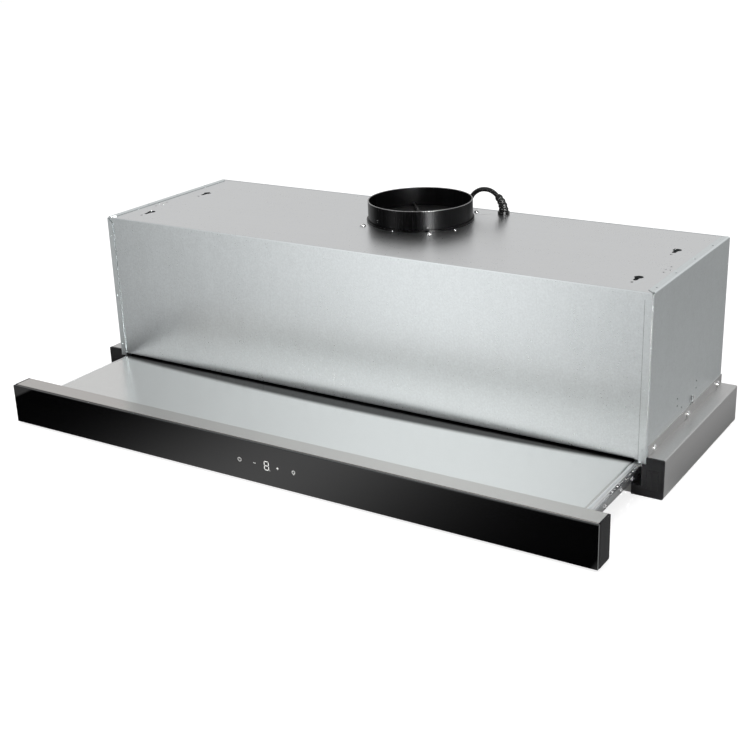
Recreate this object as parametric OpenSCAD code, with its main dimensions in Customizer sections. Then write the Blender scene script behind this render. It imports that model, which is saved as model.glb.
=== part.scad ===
// Pull-out range hood. A galvanised casing stands on two stainless side frames, and a
// drawer on ball-bearing slides carries the steel tray, its grease filters and the glass
// front. The drawer is drawn pulled out. X runs to the right, Y to the rear and Z up.

/* [Casing] */
// Width of the galvanised casing
casing_w = 852; // [760:1:960]
// Depth of the casing from front to back
casing_d = 280; // [270:1:330]
// Height of the casing's top above the ground
casing_top = 261.5; // [258:0.5:300]
// Thickness of the galvanised sheets
sheet = 1; // [0.8:0.1:1.4]
// Width of the laps that join the side panels to the others
lap_w = 10.5; // [8:0.5:14]
// Outer radius of the folded edges
bend_r = 2; // [1.6:0.1:3]
// Width of the folds along the front and rear edges of the top panel
return_w = 12; // [8:1:18]
// Width of the hem along the front and rear panels' lower edge
hem_w = 4; // [3.5:0.5:12]
// Diameter of the keyholes' round ends
keyhole_d = 11.5; // [9:0.5:14]
// Width of the keyholes' slots
keyhole_slot = 5.5; // [4:0.5:7]
// Distance of the keyholes from the casing's sides
keyhole_inset = 40; // [30:1:60]
// Distance of the front keyholes from the casing's front
keyhole_front = 55; // [45:1:65]
// Distance from the front keyholes to the rear ones
keyhole_pitch = 133; // [110:1:150]

/* [Side frames] */
// Width of the ledge beside the casing
ledge_w = 23; // [18:0.5:40]
// Height of the ledge above the shoulder that the casing stands on
ledge_rise = 8.6; // [6:0.2:16]
// Height of the flange that is screwed to the casing
flange_h = 14; // [11:0.5:20]
// Width of the shoulder under the casing's edge
shoulder_w = 5.5; // [4:0.5:8]
// Height of the foot under the slide
foot_h = 13.5; // [11:0.5:16]
// Width of the foot inside the slide's wall
foot_w = 12.5; // [11:0.5:16]
// Thickness of the stainless sheets
steel = 1; // [0.8:0.1:1.4]
// Length of the side frames behind the casing
frame_over = 2; // [0:0.5:6]
// Thickness of the end caps' faces
cap_t = 3; // [2:0.5:4]

/* [Slides] */
// How far the drawer pulls out
travel = 166.5; // [140:0.5:175]
// Height of the fixed rail's plate on the frame's wall
rail_h = 27; // [26:0.5:30]
// Height of the drawer's slide channel
channel_h = 10.5; // [10:0.1:12]
// Depth of the drawer's slide channel
channel_d = 5.5; // [5.2:0.1:6]
// Space between the tray's side and the frame's wall
slide_t = 10.5; // [10.4:0.1:12]
// Length of a slide rail
rail_len = 256; // [240:1:262]
// Thickness of the slides' metal
slide_metal = 1; // [0.8:0.1:1.2]
// Radius of the slide balls
ball_r = 1.4; // [1.2:0.1:1.5]
// Length of a ball cage
cage_len = 160; // [120:1:165]
// Distance from one ball to the next
ball_pitch = 8; // [7:0.5:12]

/* [Drawer] */
// Height of the tray's top above the shoulder
tray_rise = 1.3; // [0.8:0.1:3]
// Gap between the tray and the front panel above it
lip_gap = 1.4; // [1:0.1:3]
// Length of the tray that stays under the casing
tray_tail = 40; // [36:1:60]
// Height of the visor bar
visor_h = 56.2; // [52:0.2:80]
// Depth of the visor bar behind the glass
visor_d = 28.4; // [22:0.2:40]
// Thickness of the glass front
glass_t = 4; // [3:0.5:6]
// Height of the visor bar above the ground
visor_lift = 1.9; // [1:0.1:4]
// Gap between the visor bar and the casing when the drawer is shut
shut_gap = 0.6; // [0.4:0.1:2]

/* [Filters and lamps] */
// Thickness of a filter cassette
filter_h = 9; // [8:0.5:9.5]
// Width of the rib between two filters
filter_rib = 8; // [6:0.5:16]
// Depth of a filter in the base pan
base_filter_d = 208; // [180:1:208]
// Depth of a filter in the drawer
tray_filter_d = 176; // [140:1:182]
// Width of a filter's side and rear bars
filter_bar = 10; // [8:0.5:14]
// Width of a filter's front bar, which holds the latch
latch_bar = 32; // [28:1:40]
// Distance from one mesh opening to the next, sideways
mesh_w = 34; // [28:1:44]
// Distance from one row of mesh openings to the next
mesh_d = 24; // [20:1:32]
// Width of the mesh strands
strand = 2.6; // [2:0.2:4]
// Travel of a filter latch
latch_travel = 5; // [3.5:0.5:6]
// Diameter of a lamp
lamp_d = 44; // [36:1:46]
// Distance of the lamps from the middle
lamp_x = 250; // [150:5:320]

/* [Duct collar] */
// Outside diameter of the duct collar
collar_d = 150; // [120:1:152]
// Height of the collar above the top panel
collar_h = 29; // [24:1:60]
// Wall of the collar
collar_wall = 1.5; // [1:0.1:2]
// Offset of the collar to the right of the middle
collar_x = 4; // [-20:1:20]
// Distance of the collar's middle from the casing's front
collar_y = 189; // [186:1:192]
// Radius of the damper flaps' hinge rod
rod_r = 1.5; // [1.2:0.1:2]

/* [Blower] */
// Diameter of the impeller
impeller_d = 140; // [110:1:142]
// Width of the impeller
impeller_w = 128; // [90:1:130]
// Number of blades
blades = 32; // [24:1:40]
// Diameter of the motor
motor_d = 84; // [70:1:90]
// Radius of the motor shaft
shaft_r = 4; // [3:0.5:5]

/* [Cord] */
// Diameter of the cord
cord_d = 6.6; // [6:0.1:7]

/* [Hidden] */
$fn = 48;
// Clearance between pieces that fit together
fit = 0.3;
// Running clearance of pins and shafts
play = 0.08;
// A little more than nothing, so that cuts break through
cut = 1;

side_x = casing_w / 2;
outer_x = side_x + ledge_w;
// The flat panels end clear of the side panels' bends
panel_x = side_x - max(bend_r, sheet) - fit;
wall_x = side_x - shoulder_w;
foot_x = wall_x - foot_w;
tray_x = wall_x - slide_t;
slide_gap = 1.45;
shoulder_z = foot_h + rail_h + 2 * slide_gap;
ledge_z = shoulder_z + ledge_rise;
rail_z = foot_h + slide_gap + rail_h / 2;
frame_d = casing_d + frame_over;
tray_z = shoulder_z + tray_rise;
slide_drop = 1.2;
slide_z = tray_z - slide_drop - channel_h / 2;
lip_z = tray_z + lip_gap;
top_z = casing_top - sheet;
visor_back = -travel - shut_gap;
visor_face = visor_back - visor_d;
glass_face = visor_face - glass_t;
visor_top = visor_lift + visor_h;
// The origin is under the middle of the hood, on the ground
middle_y = (frame_d + glass_face) / 2;

// Drops of the front laps' holes below the casing's top
lap_drops = [29, 122, 200];
// Distances of the top laps' holes from the casing's front
lap_runs = [22, 88, casing_d - 125, casing_d - 56];
// Places of the side panels' small holes, from the front and above the shoulder
side_holes = [[103, 49], [103, 39], [120, 31], [174, 49], [174, 39]];
// Places of the small holes beside the keyholes, from the side and from the front
top_holes = [[21, 87], [23, 100.5], [16.5, 99], [20.5, 113]];
pinhole_r = 1.3;
lock_hole_r = 1.7;
lock_hole_gap = 22.5;
keyhole_throw = 12;

screw_r = 1.9;
screw_head_r = 4.2;
screw_head_h = 2.6;
flange_screw_y = [23, casing_d / 2 + 3, casing_d - 17];
flange_screw_z = ledge_z + 5.2;
hook_y = casing_d / 2 + 21;
hook_w = 5;
hook_h = 11;
hook_t = 2.4;

rail_y = 5;
runner_y = rail_y - travel - 2.4;
groove_r = ball_r + 0.1;
race_r = groove_r + slide_metal;
ball_v = channel_h / 2 - race_r;
ball_u = channel_d - race_r;
// Half the gap between the channel's lips and the rail's tongue, at the balls' middle
race_gap = 0.5;
cage_t = 0.4;
cage_u = slide_metal + 0.25;
tongue_u = cage_u + cage_t + 0.35;
cage_y = rail_y + 0.3 - travel / 2;
ball_rows = floor((cage_len - ball_pitch) / ball_pitch);
cage_link = 20;

tray_skirt_z = foot_h + 5;
runner_foot_z = tray_skirt_z + 0.5;
runner_screws_y = [24, 74, 124, 159, 226];
runner_screw_z = tray_skirt_z + 4.3;
runner_head_r = 3.4;
runner_head_h = 1.4;
tray_back = visor_back + travel + tray_tail;
base_z = 1;
tray_base_z = foot_h + 3;
tray_base_wall = 11;
well_gap = 1;
well_rim = 5;
base_well_y = 58;
tray_well_y = visor_back + 8;
latch_w = 40;
latch_d = 14;
tongue_w = 12;
tongue_h = 1.6;
tongue_out = 3;
tab_w = 14;

collar_r = collar_d / 2;
collar_top = top_z + collar_h;
flap_t = 1.5;
stop_ring = 3;
knuckle_r = rod_r + 1.5;
rod_z = top_z + 5.5;
flap_z = rod_z - knuckle_r - fit - flap_t / 2;
// Direction of the hinge rod, seen from above
flap_a = 37.7;
// Direction of the collar's screws, from the side, and their distance beyond its wall
collar_screw_a = 52.15;
collar_screw_out = 13;
collar_screw_x = (collar_r + collar_screw_out) * cos(collar_screw_a);
collar_screw_y = (collar_r + collar_screw_out) * sin(collar_screw_a);
flange_out = 3;
flange_t = 1.5;
bead_out = 2;
bead_h = 3;
neck_h = 22;
// Cable slit in the top panel, beside the collar
slit_a = 40;
slit_out = 6;
slit_len = 26;
slit_w = 0.8;

blower_y = 140;
blower_z = 153;
volute_start = impeller_d / 2 + 8;
volute_end = volute_start + 30;
volute_t = 1.2;
roof_t = 2;
roof_z = top_z - sheet - flange_t - neck_h;
cutoff_a = 75;
scroll_w = impeller_w + 22;
inlet_r = impeller_d / 2 - 10;
blade_depth = 14;
// Turn of the blade row against the shaft, in blade pitches
blade_shift = 0.3;
motor_len = 54;
box_w = 150;
box_d = 70;
box_h = 42;
box_t = 1.5;
box_x = collar_x + scroll_w / 2 + 6;
box_y = casing_d - 2 * sheet - fit - 2 - box_d;
lid_over = 1;
board_t = 1.6;
board_inset = 5;
board_lift = 10;
// Transformer and relay on the power board, from its box's corner
transformer = [32, 28, 19];
transformer_at = [60, 12];
relay = [32, 12, 13];
relay_at = [104, 14];
capacitor_r = 16;
capacitor_len = 56;

cord_r = cord_d / 2;
turn_pitch = cord_d + 0.5;
coil_turns = 2;
coil_mid_r = 5.5 * cord_d;
coil_out_r = coil_mid_r + coil_turns * turn_pitch / 2;
coil_in_r = coil_out_r - coil_turns * turn_pitch;
coil_z = cord_r + 0.1;
coil_rings = 24;
coil_lead = 8;
coil_tail = 12;
// Where the cord comes onto the coil, at the coil's front
coil_at = [-14, 290];
// Route of the free cord, from the boot's mouth to the coil
cord_route = [
  [83.2, 265, 289.7], [76, 265, 292.8], [67, 265, 293.5], [59, 265.5, 291.5],
  [52, 267, 287.5], [46, 270, 282.5], [41, 274, 277], [37, 279, 271], [34, 284.5, 263.5],
  [32, 288.5, 254], [31, 290, 240], [30, 290, 215], [30, 290, 180], [30, 290, 140],
  [30, 290, 100], [30, 290, 65], [30, 290, 42], [27.5, 290, 27], [21, 290, 13.5],
  [11, 290, 5.8], [3, 290, 3.6], [-6, 290, 3.4]
];
boot_foot = [collar_x + 94.5, casing_d - 15];
boot_thread_r = 6;
boot_nut_r = 8.5;
boot_nut_h = 3.5;
boot_rings = 17;
boot_bend = 28.7;
boot_turn = 50;
plug_x = coil_at[0] + coil_tail;
plug_y = coil_at[1] + 2 * coil_out_r;
plug_z = coil_z + turn_pitch;

// ---- Placing and profiles ----

// Moves a piece from the casing's front to the hood's own origin
module placed() {
  translate([0, -middle_y, 0]) children();
}

// Extrudes a profile drawn in X and Z along Y
module along_y(start, length) {
  translate([0, start + length, 0]) rotate([90, 0, 0]) linear_extrude(length) children();
}

// Extrudes a profile drawn in Y and Z along X
module along_x(start, length) {
  translate([start, 0, 0]) rotate([90, 0, 90]) linear_extrude(length) children();
}

// A block from low to high corner
module block(low, high) {
  translate(low) cube(high - low);
}

// A hole or pin along X, Y or Z
module bar_x(at, r, length) {
  translate(at) rotate([0, 90, 0]) cylinder(r = r, h = length);
}

module bar_y(at, r, length) {
  translate(at) rotate([-90, 0, 0]) cylinder(r = r, h = length);
}

module bar_z(at, r, length) {
  translate(at) cylinder(r = r, h = length);
}

// A block left and below the origin with its upper right corner rounded
module corner_block(w, h, r) {
  translate([-w, -h]) square([w, h - r]);
  translate([-w, -h]) square([w - r, h]);
  translate([-r, -r]) circle(r);
}

// Sheet folded once, with the fold at the origin
module elbow(w, h, t, r) {
  difference() {
    corner_block(w, h, r);
    translate([-t, -t]) corner_block(w, h, r - t);
  }
}

// Rectangle with round corners
module soft_square(low, high, r) {
  translate([low[0] + r, low[1]]) square([high[0] - low[0] - 2 * r, high[1] - low[1]]);
  translate([low[0], low[1] + r]) square([high[0] - low[0], high[1] - low[1] - 2 * r]);
  for (x = [low[0] + r, high[0] - r])
    for (y = [low[1] + r, high[1] - r])
      translate([x, y]) circle(r);
}

// Screw with a pan head on the plane x = 0, its shank towards -X
module pan_screw(length) {
  rotate([0, 90, 0]) {
    cylinder(r = screw_head_r, h = screw_head_h * 0.45);
    translate([0, 0, screw_head_h * 0.45])
      cylinder(r1 = screw_head_r, r2 = screw_head_r * 0.62, h = screw_head_h * 0.55);
    translate([0, 0, -length]) cylinder(r = screw_r, h = length + 0.1);
  }
}

// ---- Casing ----

// Cuts a lap's end off at 45 degrees, from the corner at the origin inwards
module mitre(gap) {
  far = lap_w + cut;
  polygon([[-far, cut], [-far, gap - far], [-gap, 0], [-gap, cut]]);
}

module right_side_panel_shape() {
  difference() {
    union() {
      translate([side_x, 0, shoulder_z]) linear_extrude(casing_top - bend_r - shoulder_z) {
        translate([0, casing_d]) elbow(lap_w, casing_d / 2 + cut, sheet, bend_r);
        mirror([0, 1]) elbow(lap_w, casing_d / 2 + cut, sheet, bend_r);
      }
      along_y(bend_r * 2, casing_d - bend_r * 4)
        translate([side_x, casing_top]) elbow(lap_w, bend_r * 3, sheet, bend_r);
    }
    // Mitres of the front and rear laps
    for (y = [-cut, casing_d - sheet])
      along_y(y, sheet + cut) translate([side_x, casing_top]) mitre(sheet);
    // Mitres of the top lap
    for (end = [0, 1])
      translate([0, end * casing_d, casing_top - sheet - 0.01]) mirror([0, 1 - end, 0])
        linear_extrude(sheet + cut) translate([side_x, 0]) mitre(0);
    for (drop = lap_drops)
      bar_y([side_x - lap_w / 2, -cut, casing_top - drop], pinhole_r, sheet + 2 * cut);
    for (run = lap_runs)
      bar_z([side_x - lap_w / 2, run, casing_top - sheet - cut], pinhole_r, sheet + 2 * cut);
    for (p = side_holes)
      bar_x([side_x - sheet - cut, p[0], shoulder_z + p[1]], pinhole_r, sheet + 2 * cut);
    for (y = flange_screw_y)
      bar_x([side_x - sheet - cut, y, flange_screw_z], screw_r + play, sheet + 2 * cut);
  }
}

module right_side_panel() {
  placed() color("lightsteelblue") right_side_panel_shape();
}

module left_side_panel() {
  placed() color("lightsteelblue") mirror([1, 0, 0]) right_side_panel_shape();
}

// Flat panel behind the laps, with its lower edge folded inwards
module upright_panel() {
  along_x(-panel_x, 2 * panel_x)
    translate([sheet, lip_z]) mirror([1, 0]) mirror([0, 1])
      elbow(hem_w, top_z - lip_z, sheet, bend_r);
}

module front_panel() {
  placed() color("gainsboro") upright_panel();
}

module rear_panel() {
  placed() color("lightgray") translate([0, casing_d, 0]) mirror([0, 1, 0]) upright_panel();
}

module keyhole() {
  cylinder(d = keyhole_d, h = sheet + 2 * cut);
  translate([-keyhole_slot / 2, -keyhole_throw, 0])
    cube([keyhole_slot, keyhole_throw, sheet + 2 * cut]);
  translate([0, -keyhole_throw, 0]) cylinder(d = keyhole_slot, h = sheet + 2 * cut);
  translate([0, -lock_hole_gap, 0]) cylinder(r = lock_hole_r, h = sheet + 2 * cut);
}

module top_panel() {
  front = 2 * sheet + fit;
  below = top_z - sheet - cut;
  placed() color("silver") difference() {
    along_x(-panel_x, 2 * panel_x) {
      translate([casing_d - front, top_z]) elbow(casing_d / 2 - front, return_w, sheet, bend_r);
      translate([front, top_z]) mirror([1, 0])
        elbow(casing_d / 2 - front, return_w, sheet, bend_r);
    }
    for (side = [-1, 1])
      for (y = [keyhole_front, keyhole_front + keyhole_pitch])
        translate([side * (side_x - keyhole_inset), y, below]) keyhole();
    for (side = [-1, 1])
      for (p = top_holes)
        bar_z([side * (side_x - p[0]), p[1], below], pinhole_r, sheet + 2 * cut);
    bar_z([collar_x, collar_y, below], collar_r + fit, sheet + 2 * cut);
    for (sx = [-1, 1])
      for (sy = [-1, 1])
        bar_z([collar_x + sx * collar_screw_x, collar_y + sy * collar_screw_y, below],
              screw_r + play, sheet + 2 * cut);
    bar_z([boot_foot[0], boot_foot[1], below], boot_thread_r + fit, sheet + 2 * cut);
    translate([collar_x, collar_y, below]) rotate(slit_a) translate([collar_r + slit_out, 0, 0])
      cube([slit_len, slit_w, sheet + 2 * cut]);
  }
}

// ---- Side frames ----

// Section of a side frame, drawn in by inset on every side
module frame_outline(inset) {
  r = max(bend_r - inset, 0.4);
  soft_square([side_x + inset, inset], [outer_x - inset, ledge_z - inset], r);
  translate([side_x + inset, inset]) square([ledge_w / 2, ledge_z - 2 * inset]);
  translate([wall_x + inset, inset])
    square([outer_x - wall_x - 2 * inset - r, shoulder_z - 2 * inset]);
  translate([foot_x + inset, inset])
    square([outer_x - foot_x - 2 * inset - r, foot_h - 2 * inset]);
}

module right_side_frame_shape() {
  difference() {
    union() {
      along_y(cap_t, frame_d - cap_t - steel) difference() {
        frame_outline(0);
        frame_outline(steel);
      }
      along_y(frame_d - steel, steel) frame_outline(0);
      along_y(cap_t + 1, frame_d - frame_over - cap_t - 1)
        translate([side_x, ledge_z - steel]) square([steel, flange_h + steel]);
    }
    for (y = flange_screw_y)
      bar_x([side_x - cut, y, flange_screw_z], screw_r + play, steel + 2 * cut);
  }
}

module right_side_frame() {
  placed() color("rosybrown") right_side_frame_shape();
}

module left_side_frame() {
  placed() color("rosybrown") mirror([1, 0, 0]) right_side_frame_shape();
}

// End cap: a face with a shallow grooved panel, and a plug that fits in the frame
module right_frame_cap_shape() {
  panel_low = [side_x + 1.4, 10];
  panel_high = [outer_x - 6, ledge_z - 15];
  difference() {
    along_y(0, cap_t) frame_outline(0);
    along_y(-cut, cut + 0.6) difference() {
      translate(panel_low) square(panel_high - panel_low);
      translate(panel_low + [0.8, 0.8]) square(panel_high - panel_low - [1.6, 1.6]);
    }
    along_y(-cut, cut + 0.8)
      translate([(panel_low[0] + panel_high[0]) / 2 - 1.6, panel_low[1]])
        square([0.9, panel_high[1] - panel_low[1]]);
  }
  along_y(cap_t, 12) difference() {
    frame_outline(steel + fit);
    frame_outline(steel + fit + 2);
  }
}

module right_frame_cap() {
  placed() color("dimgray") right_frame_cap_shape();
}

module left_frame_cap() {
  placed() color("dimgray") mirror([1, 0, 0]) right_frame_cap_shape();
}

module flange_screws() {
  placed() color("white") for (side = [0, 1])
    mirror([side, 0, 0])
      for (y = flange_screw_y)
        translate([side_x + steel, y, flange_screw_z]) pan_screw(steel + sheet + 4);
}

module hook_clips() {
  placed() color("white") for (side = [0, 1])
    mirror([side, 0, 0])
      along_x(side_x, hook_t)
        soft_square([hook_y - hook_w / 2, ledge_z + flange_h],
                    [hook_y + hook_w / 2, ledge_z + flange_h + hook_h], hook_w / 2 - 0.1);
}

// ---- Filters ----

// Half the space that one of two filters fills between the sides of a floor
function filter_w(half_w) = half_w - well_rim - filter_rib / 2 - 2 * well_gap;

// Cuts and walls of the well that a filter is pushed into from below
module well_walls(w, d) {
  block([-well_gap - steel, -well_gap - steel, 0],
        [w + well_gap + steel, d + well_gap + steel, filter_h + 0.6 + steel]);
}

module well_cuts(w, d) {
  block([-well_gap, -well_gap, -cut], [w + well_gap, d + well_gap, filter_h + 0.6]);
  block([well_rim, well_rim, 0], [w - well_rim, d - well_rim, filter_h + 3 * cut]);
  block([w / 2 - tongue_w / 2 - fit, -well_gap - steel - cut, 4 - fit],
        [w / 2 + tongue_w / 2 + fit, 0, 4 + tongue_h + fit]);
  for (x = [w * 0.2, w * 0.8])
    block([x - tab_w / 2 - fit, d, 4 - fit],
          [x + tab_w / 2 + fit, d + well_gap + steel + cut, 4 + tongue_h + fit]);
}

// One diamond opening of the mesh
function diamond(x, y) =
  let (a = mesh_w / 2 - strand * 1.1, b = mesh_d / 2 - strand * 0.7)
  [[x - a, y], [x, y - b], [x + a, y], [x, y + b]];

// Stretched-metal mesh: a sheet with staggered rows of diamond openings
module mesh_sheet(w, d) {
  nx = floor((w - strand) / mesh_w);
  ny = floor((d - strand) / mesh_d);
  x0 = (w - (nx - 1) * mesh_w) / 2;
  y0 = (d - (ny - 1) * mesh_d) / 2;
  holes = concat(
    [for (i = [0:nx - 1]) for (j = [0:ny - 1]) diamond(x0 + i * mesh_w, y0 + j * mesh_d)],
    [for (i = [0:nx - 2]) for (j = [0:ny - 2])
      diamond(x0 + (i + 0.5) * mesh_w, y0 + (j + 0.5) * mesh_d)]
  );
  corners = concat([[0, 0], [w, 0], [w, d], [0, d]], [for (h = holes) each h]);
  paths = concat([[0, 1, 2, 3]],
    [for (k = [0:len(holes) - 1]) [for (c = [0:3]) 4 + 4 * k + c]]);
  polygon(corners, paths);
}

// Filter cassette with its front left lower corner at the origin
module cassette(w, d) {
  mesh_at = [filter_bar, latch_bar, filter_h / 2 - 1];
  difference() {
    cube([w, d, filter_h]);
    block([filter_bar, latch_bar, -cut], [w - filter_bar, d - filter_bar, filter_h + cut]);
    block([w / 2 - latch_w / 2 - fit, 4, -cut],
          [w / 2 + latch_w / 2 + fit, 4 + latch_d + latch_travel + 2 * fit, 6]);
    block([w / 2 - tongue_w / 2 - fit, -cut, 4 - fit],
          [w / 2 + tongue_w / 2 + fit, 5, 4 + tongue_h + fit]);
  }
  for (x = [w * 0.2, w * 0.8])
    block([x - tab_w / 2, d - cut, 4], [x + tab_w / 2, d + well_gap + steel, 4 + tongue_h]);
  translate(mesh_at - [cut, cut, 0]) linear_extrude(2)
    mesh_sheet(w - 2 * filter_bar + 2 * cut, d - filter_bar - latch_bar + 2 * cut);
}

// Spring latch in the cassette's front bar: its tongue keeps the filter up
module latch(w) {
  difference() {
    block([w / 2 - latch_w / 2, 4 + fit, 0.6], [w / 2 + latch_w / 2, 4 + fit + latch_d, 5.6]);
    block([w / 2 - latch_w / 2 + 4, 8, -cut], [w / 2 + latch_w / 2 - 4, 8 + latch_d / 2, 2.6]);
  }
  block([w / 2 - tongue_w / 2, -tongue_out, 4], [w / 2 + tongue_w / 2, 5, 4 + tongue_h]);
}

// Places a filter or its latch in a floor: side is -1 for the left and 1 for the right
module in_well(half_w, y, z, side) {
  x = side > 0 ? filter_rib / 2 + well_gap : -filter_rib / 2 - well_gap - filter_w(half_w);
  translate([x, y, z + 0.2]) children();
}

module base_pan() {
  w = filter_w(foot_x - fit);
  back = casing_d - 2 * sheet - fit;
  placed() color("tan") difference() {
    union() {
      block([-foot_x + fit, 2, base_z], [foot_x - fit, back, base_z + steel]);
      for (side = [-1, 1])
        in_well(foot_x - fit, base_well_y, base_z - 0.2, side) well_walls(w, base_filter_d);
      block([-foot_x + fit, 2, base_z], [foot_x - fit, 2 + steel, foot_h - fit]);
      block([-foot_x + fit, back - steel, base_z], [foot_x - fit, back, foot_h + 2]);
      block([-wall_x + fit, back - steel, foot_h + fit], [wall_x - fit, back, lip_z - fit]);
      for (side = [0, 1])
        mirror([side, 0, 0])
          block([foot_x - fit - steel, 2, base_z], [foot_x - fit, back, foot_h - fit]);
    }
    for (side = [-1, 1]) {
      in_well(foot_x - fit, base_well_y, base_z - 0.2, side) well_cuts(w, base_filter_d);
      bar_z([side * lamp_x, base_well_y / 2, base_z - cut], lamp_d / 2 + fit, steel + 2 * cut);
    }
  }
}

module left_filter() {
  placed() color("lightgray") in_well(foot_x - fit, base_well_y, base_z, -1)
    cassette(filter_w(foot_x - fit), base_filter_d);
}

module right_filter() {
  placed() color("lightgray") in_well(foot_x - fit, base_well_y, base_z, 1)
    cassette(filter_w(foot_x - fit), base_filter_d);
}

module left_filter_latch() {
  placed() color("black") in_well(foot_x - fit, base_well_y, base_z, -1)
    latch(filter_w(foot_x - fit));
}

module right_filter_latch() {
  placed() color("black") in_well(foot_x - fit, base_well_y, base_z, 1)
    latch(filter_w(foot_x - fit));
}

module lamps() {
  placed() color("silver") for (side = [-1, 1])
    translate([side * lamp_x, base_well_y / 2, 0]) difference() {
      union() {
        translate([0, 0, 0.2]) cylinder(r = lamp_d / 2 + 3, h = base_z - 0.2);
        translate([0, 0, 0.2]) cylinder(r = lamp_d / 2, h = 9);
      }
      translate([0, 0, -cut]) cylinder(r = lamp_d / 2 - 3, h = cut + 4);
    }
}

module lamp_lenses() {
  placed() color("ivory") for (side = [-1, 1])
    translate([side * lamp_x, base_well_y / 2, 1]) cylinder(r = lamp_d / 2 - 3 - fit / 2, h = 3);
}

// ---- Ball-bearing slides ----
// A slide's profile is drawn from the tray's side (u = 0) out to the frame's wall, and up
// and down from the slide's middle (v = 0). A channel on the drawer curls round two rows of
// balls, which run on a grooved tongue of the fixed rail.

module both_rows() {
  children();
  mirror([0, 1]) children();
}

// The channel's upper half curls over the upper row, down to the gap at the balls' middle
module channel_profile() {
  difference() {
    union() {
      translate([0, -channel_h / 2]) square([slide_metal, channel_h]);
      both_rows() {
        translate([ball_u, ball_v]) circle(race_r);
        translate([0, channel_h / 2 - slide_metal]) square([ball_u, slide_metal]);
      }
    }
    both_rows() translate([ball_u, ball_v]) circle(groove_r);
    translate([slide_metal, -ball_v - race_gap])
      square([channel_d, 2 * (ball_v + race_gap)]);
  }
}

// The runner hangs from its channel down to the tray's lower edge, where it is screwed on
module runner_profile() {
  channel_profile();
  translate([0, runner_foot_z - slide_z]) square([slide_metal, slide_z - runner_foot_z]);
}

module rail_profile() {
  reach = ball_v - race_gap;
  translate([slide_t - slide_metal, rail_z - slide_z - rail_h / 2])
    square([slide_metal, rail_h]);
  difference() {
    union() {
      translate([tongue_u, -reach]) square([channel_d - tongue_u, 2 * reach]);
      translate([ball_u, groove_r - ball_v])
        square([slide_t - slide_metal / 2 - ball_u, 2 * (ball_v - groove_r)]);
    }
    both_rows() translate([ball_u, ball_v]) circle(groove_r);
  }
}

module cage_profile() {
  outside = ball_v + cage_t / 2;
  difference() {
    translate([cage_u, -outside]) square([channel_d - cage_u - 0.4, 2 * outside]);
    translate([cage_u + cage_t, cage_t - outside]) square([channel_d, 2 * (outside - cage_t)]);
  }
}

module slide_bar(start, length) {
  along_y(start, length) translate([tray_x, slide_z]) children();
}

module right_rail_shape() {
  slide_bar(rail_y, rail_len) rail_profile();
}

module right_runner_shape() {
  difference() {
    slide_bar(runner_y, rail_len) runner_profile();
    for (y = runner_screws_y)
      bar_x([tray_x - cut, runner_y + y, runner_screw_z], screw_r + play,
            slide_metal + 2 * cut);
  }
}

// Cage with a window round every ball and long openings in its web
module right_cage_shape() {
  window_r = ball_r + 0.2;
  difference() {
    slide_bar(cage_y, cage_len) cage_profile();
    for (i = [0:ball_rows])
      for (row = [-1, 1])
        bar_z([tray_x + ball_u, cage_y + ball_pitch * (i + 0.5),
               slide_z + row * ball_v - cage_t], window_r, 2 * cage_t);
    for (i = [0:floor(cage_len / cage_link) - 1])
      block([tray_x + cage_u - cut, cage_y + cage_link * i + 4, slide_z - ball_v + 1],
            [tray_x + cage_u + cage_t + cut, cage_y + cage_link * i + 17, slide_z + ball_v - 1]);
  }
}

module right_balls_shape() {
  for (i = [0:ball_rows])
    for (row = [-1, 1])
      translate([tray_x + ball_u, cage_y + ball_pitch * (i + 0.5), slide_z + row * ball_v])
        sphere(ball_r, $fn = 16);
}

module right_slide_rail() {
  placed() color("darkgray") right_rail_shape();
}

module left_slide_rail() {
  placed() color("darkgray") mirror([1, 0, 0]) right_rail_shape();
}

module right_runner() {
  placed() color("silver") right_runner_shape();
}

module left_runner() {
  placed() color("silver") mirror([1, 0, 0]) right_runner_shape();
}

module right_ball_cage() {
  placed() color("gray") right_cage_shape();
}

module left_ball_cage() {
  placed() color("gray") mirror([1, 0, 0]) right_cage_shape();
}

module right_slide_balls() {
  placed() color("white") right_balls_shape();
}

module left_slide_balls() {
  placed() color("white") mirror([1, 0, 0]) right_balls_shape();
}

// The screws pass through the runner into the tray's side, with a low head
module runner_screws() {
  placed() color("white") for (side = [0, 1])
    mirror([side, 0, 0])
      for (y = [for (s = runner_screws_y) if (runner_y + s < tray_back - 8) runner_y + s])
        translate([tray_x + slide_metal, y, runner_screw_z]) rotate([0, 90, 0]) {
          cylinder(r = runner_head_r, h = runner_head_h);
          translate([0, 0, -slide_metal - sheet - 3])
            cylinder(r = screw_r, h = slide_metal + sheet + 3.1);
        }
}

// ---- Drawer ----

// Flat top with both edges folded down, open below
module hat_profile(half_w, h, t, r) {
  for (side = [0, 1])
    mirror([side, 0]) translate([half_w, 0]) elbow(half_w, h, t, r);
}

module tray_plate() {
  placed() color("gainsboro") difference() {
    union() {
      along_y(visor_back, tray_back - visor_back)
        translate([0, tray_z]) hat_profile(tray_x, tray_z - tray_skirt_z, sheet, bend_r);
      block([-tray_x + sheet + 1, visor_back, tray_skirt_z],
            [tray_x - sheet - 1, visor_back + sheet, tray_z - sheet / 2]);
      block([-tray_x + sheet + 1, tray_back - sheet, tray_z - 8],
            [tray_x - sheet - 1, tray_back, tray_z - sheet / 2]);
    }
    for (side = [-1, 1])
      for (y = runner_screws_y)
        bar_x([side * tray_x - 2 * sheet, runner_y + y, runner_screw_z],
              screw_r + play, 4 * sheet);
  }
}

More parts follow.
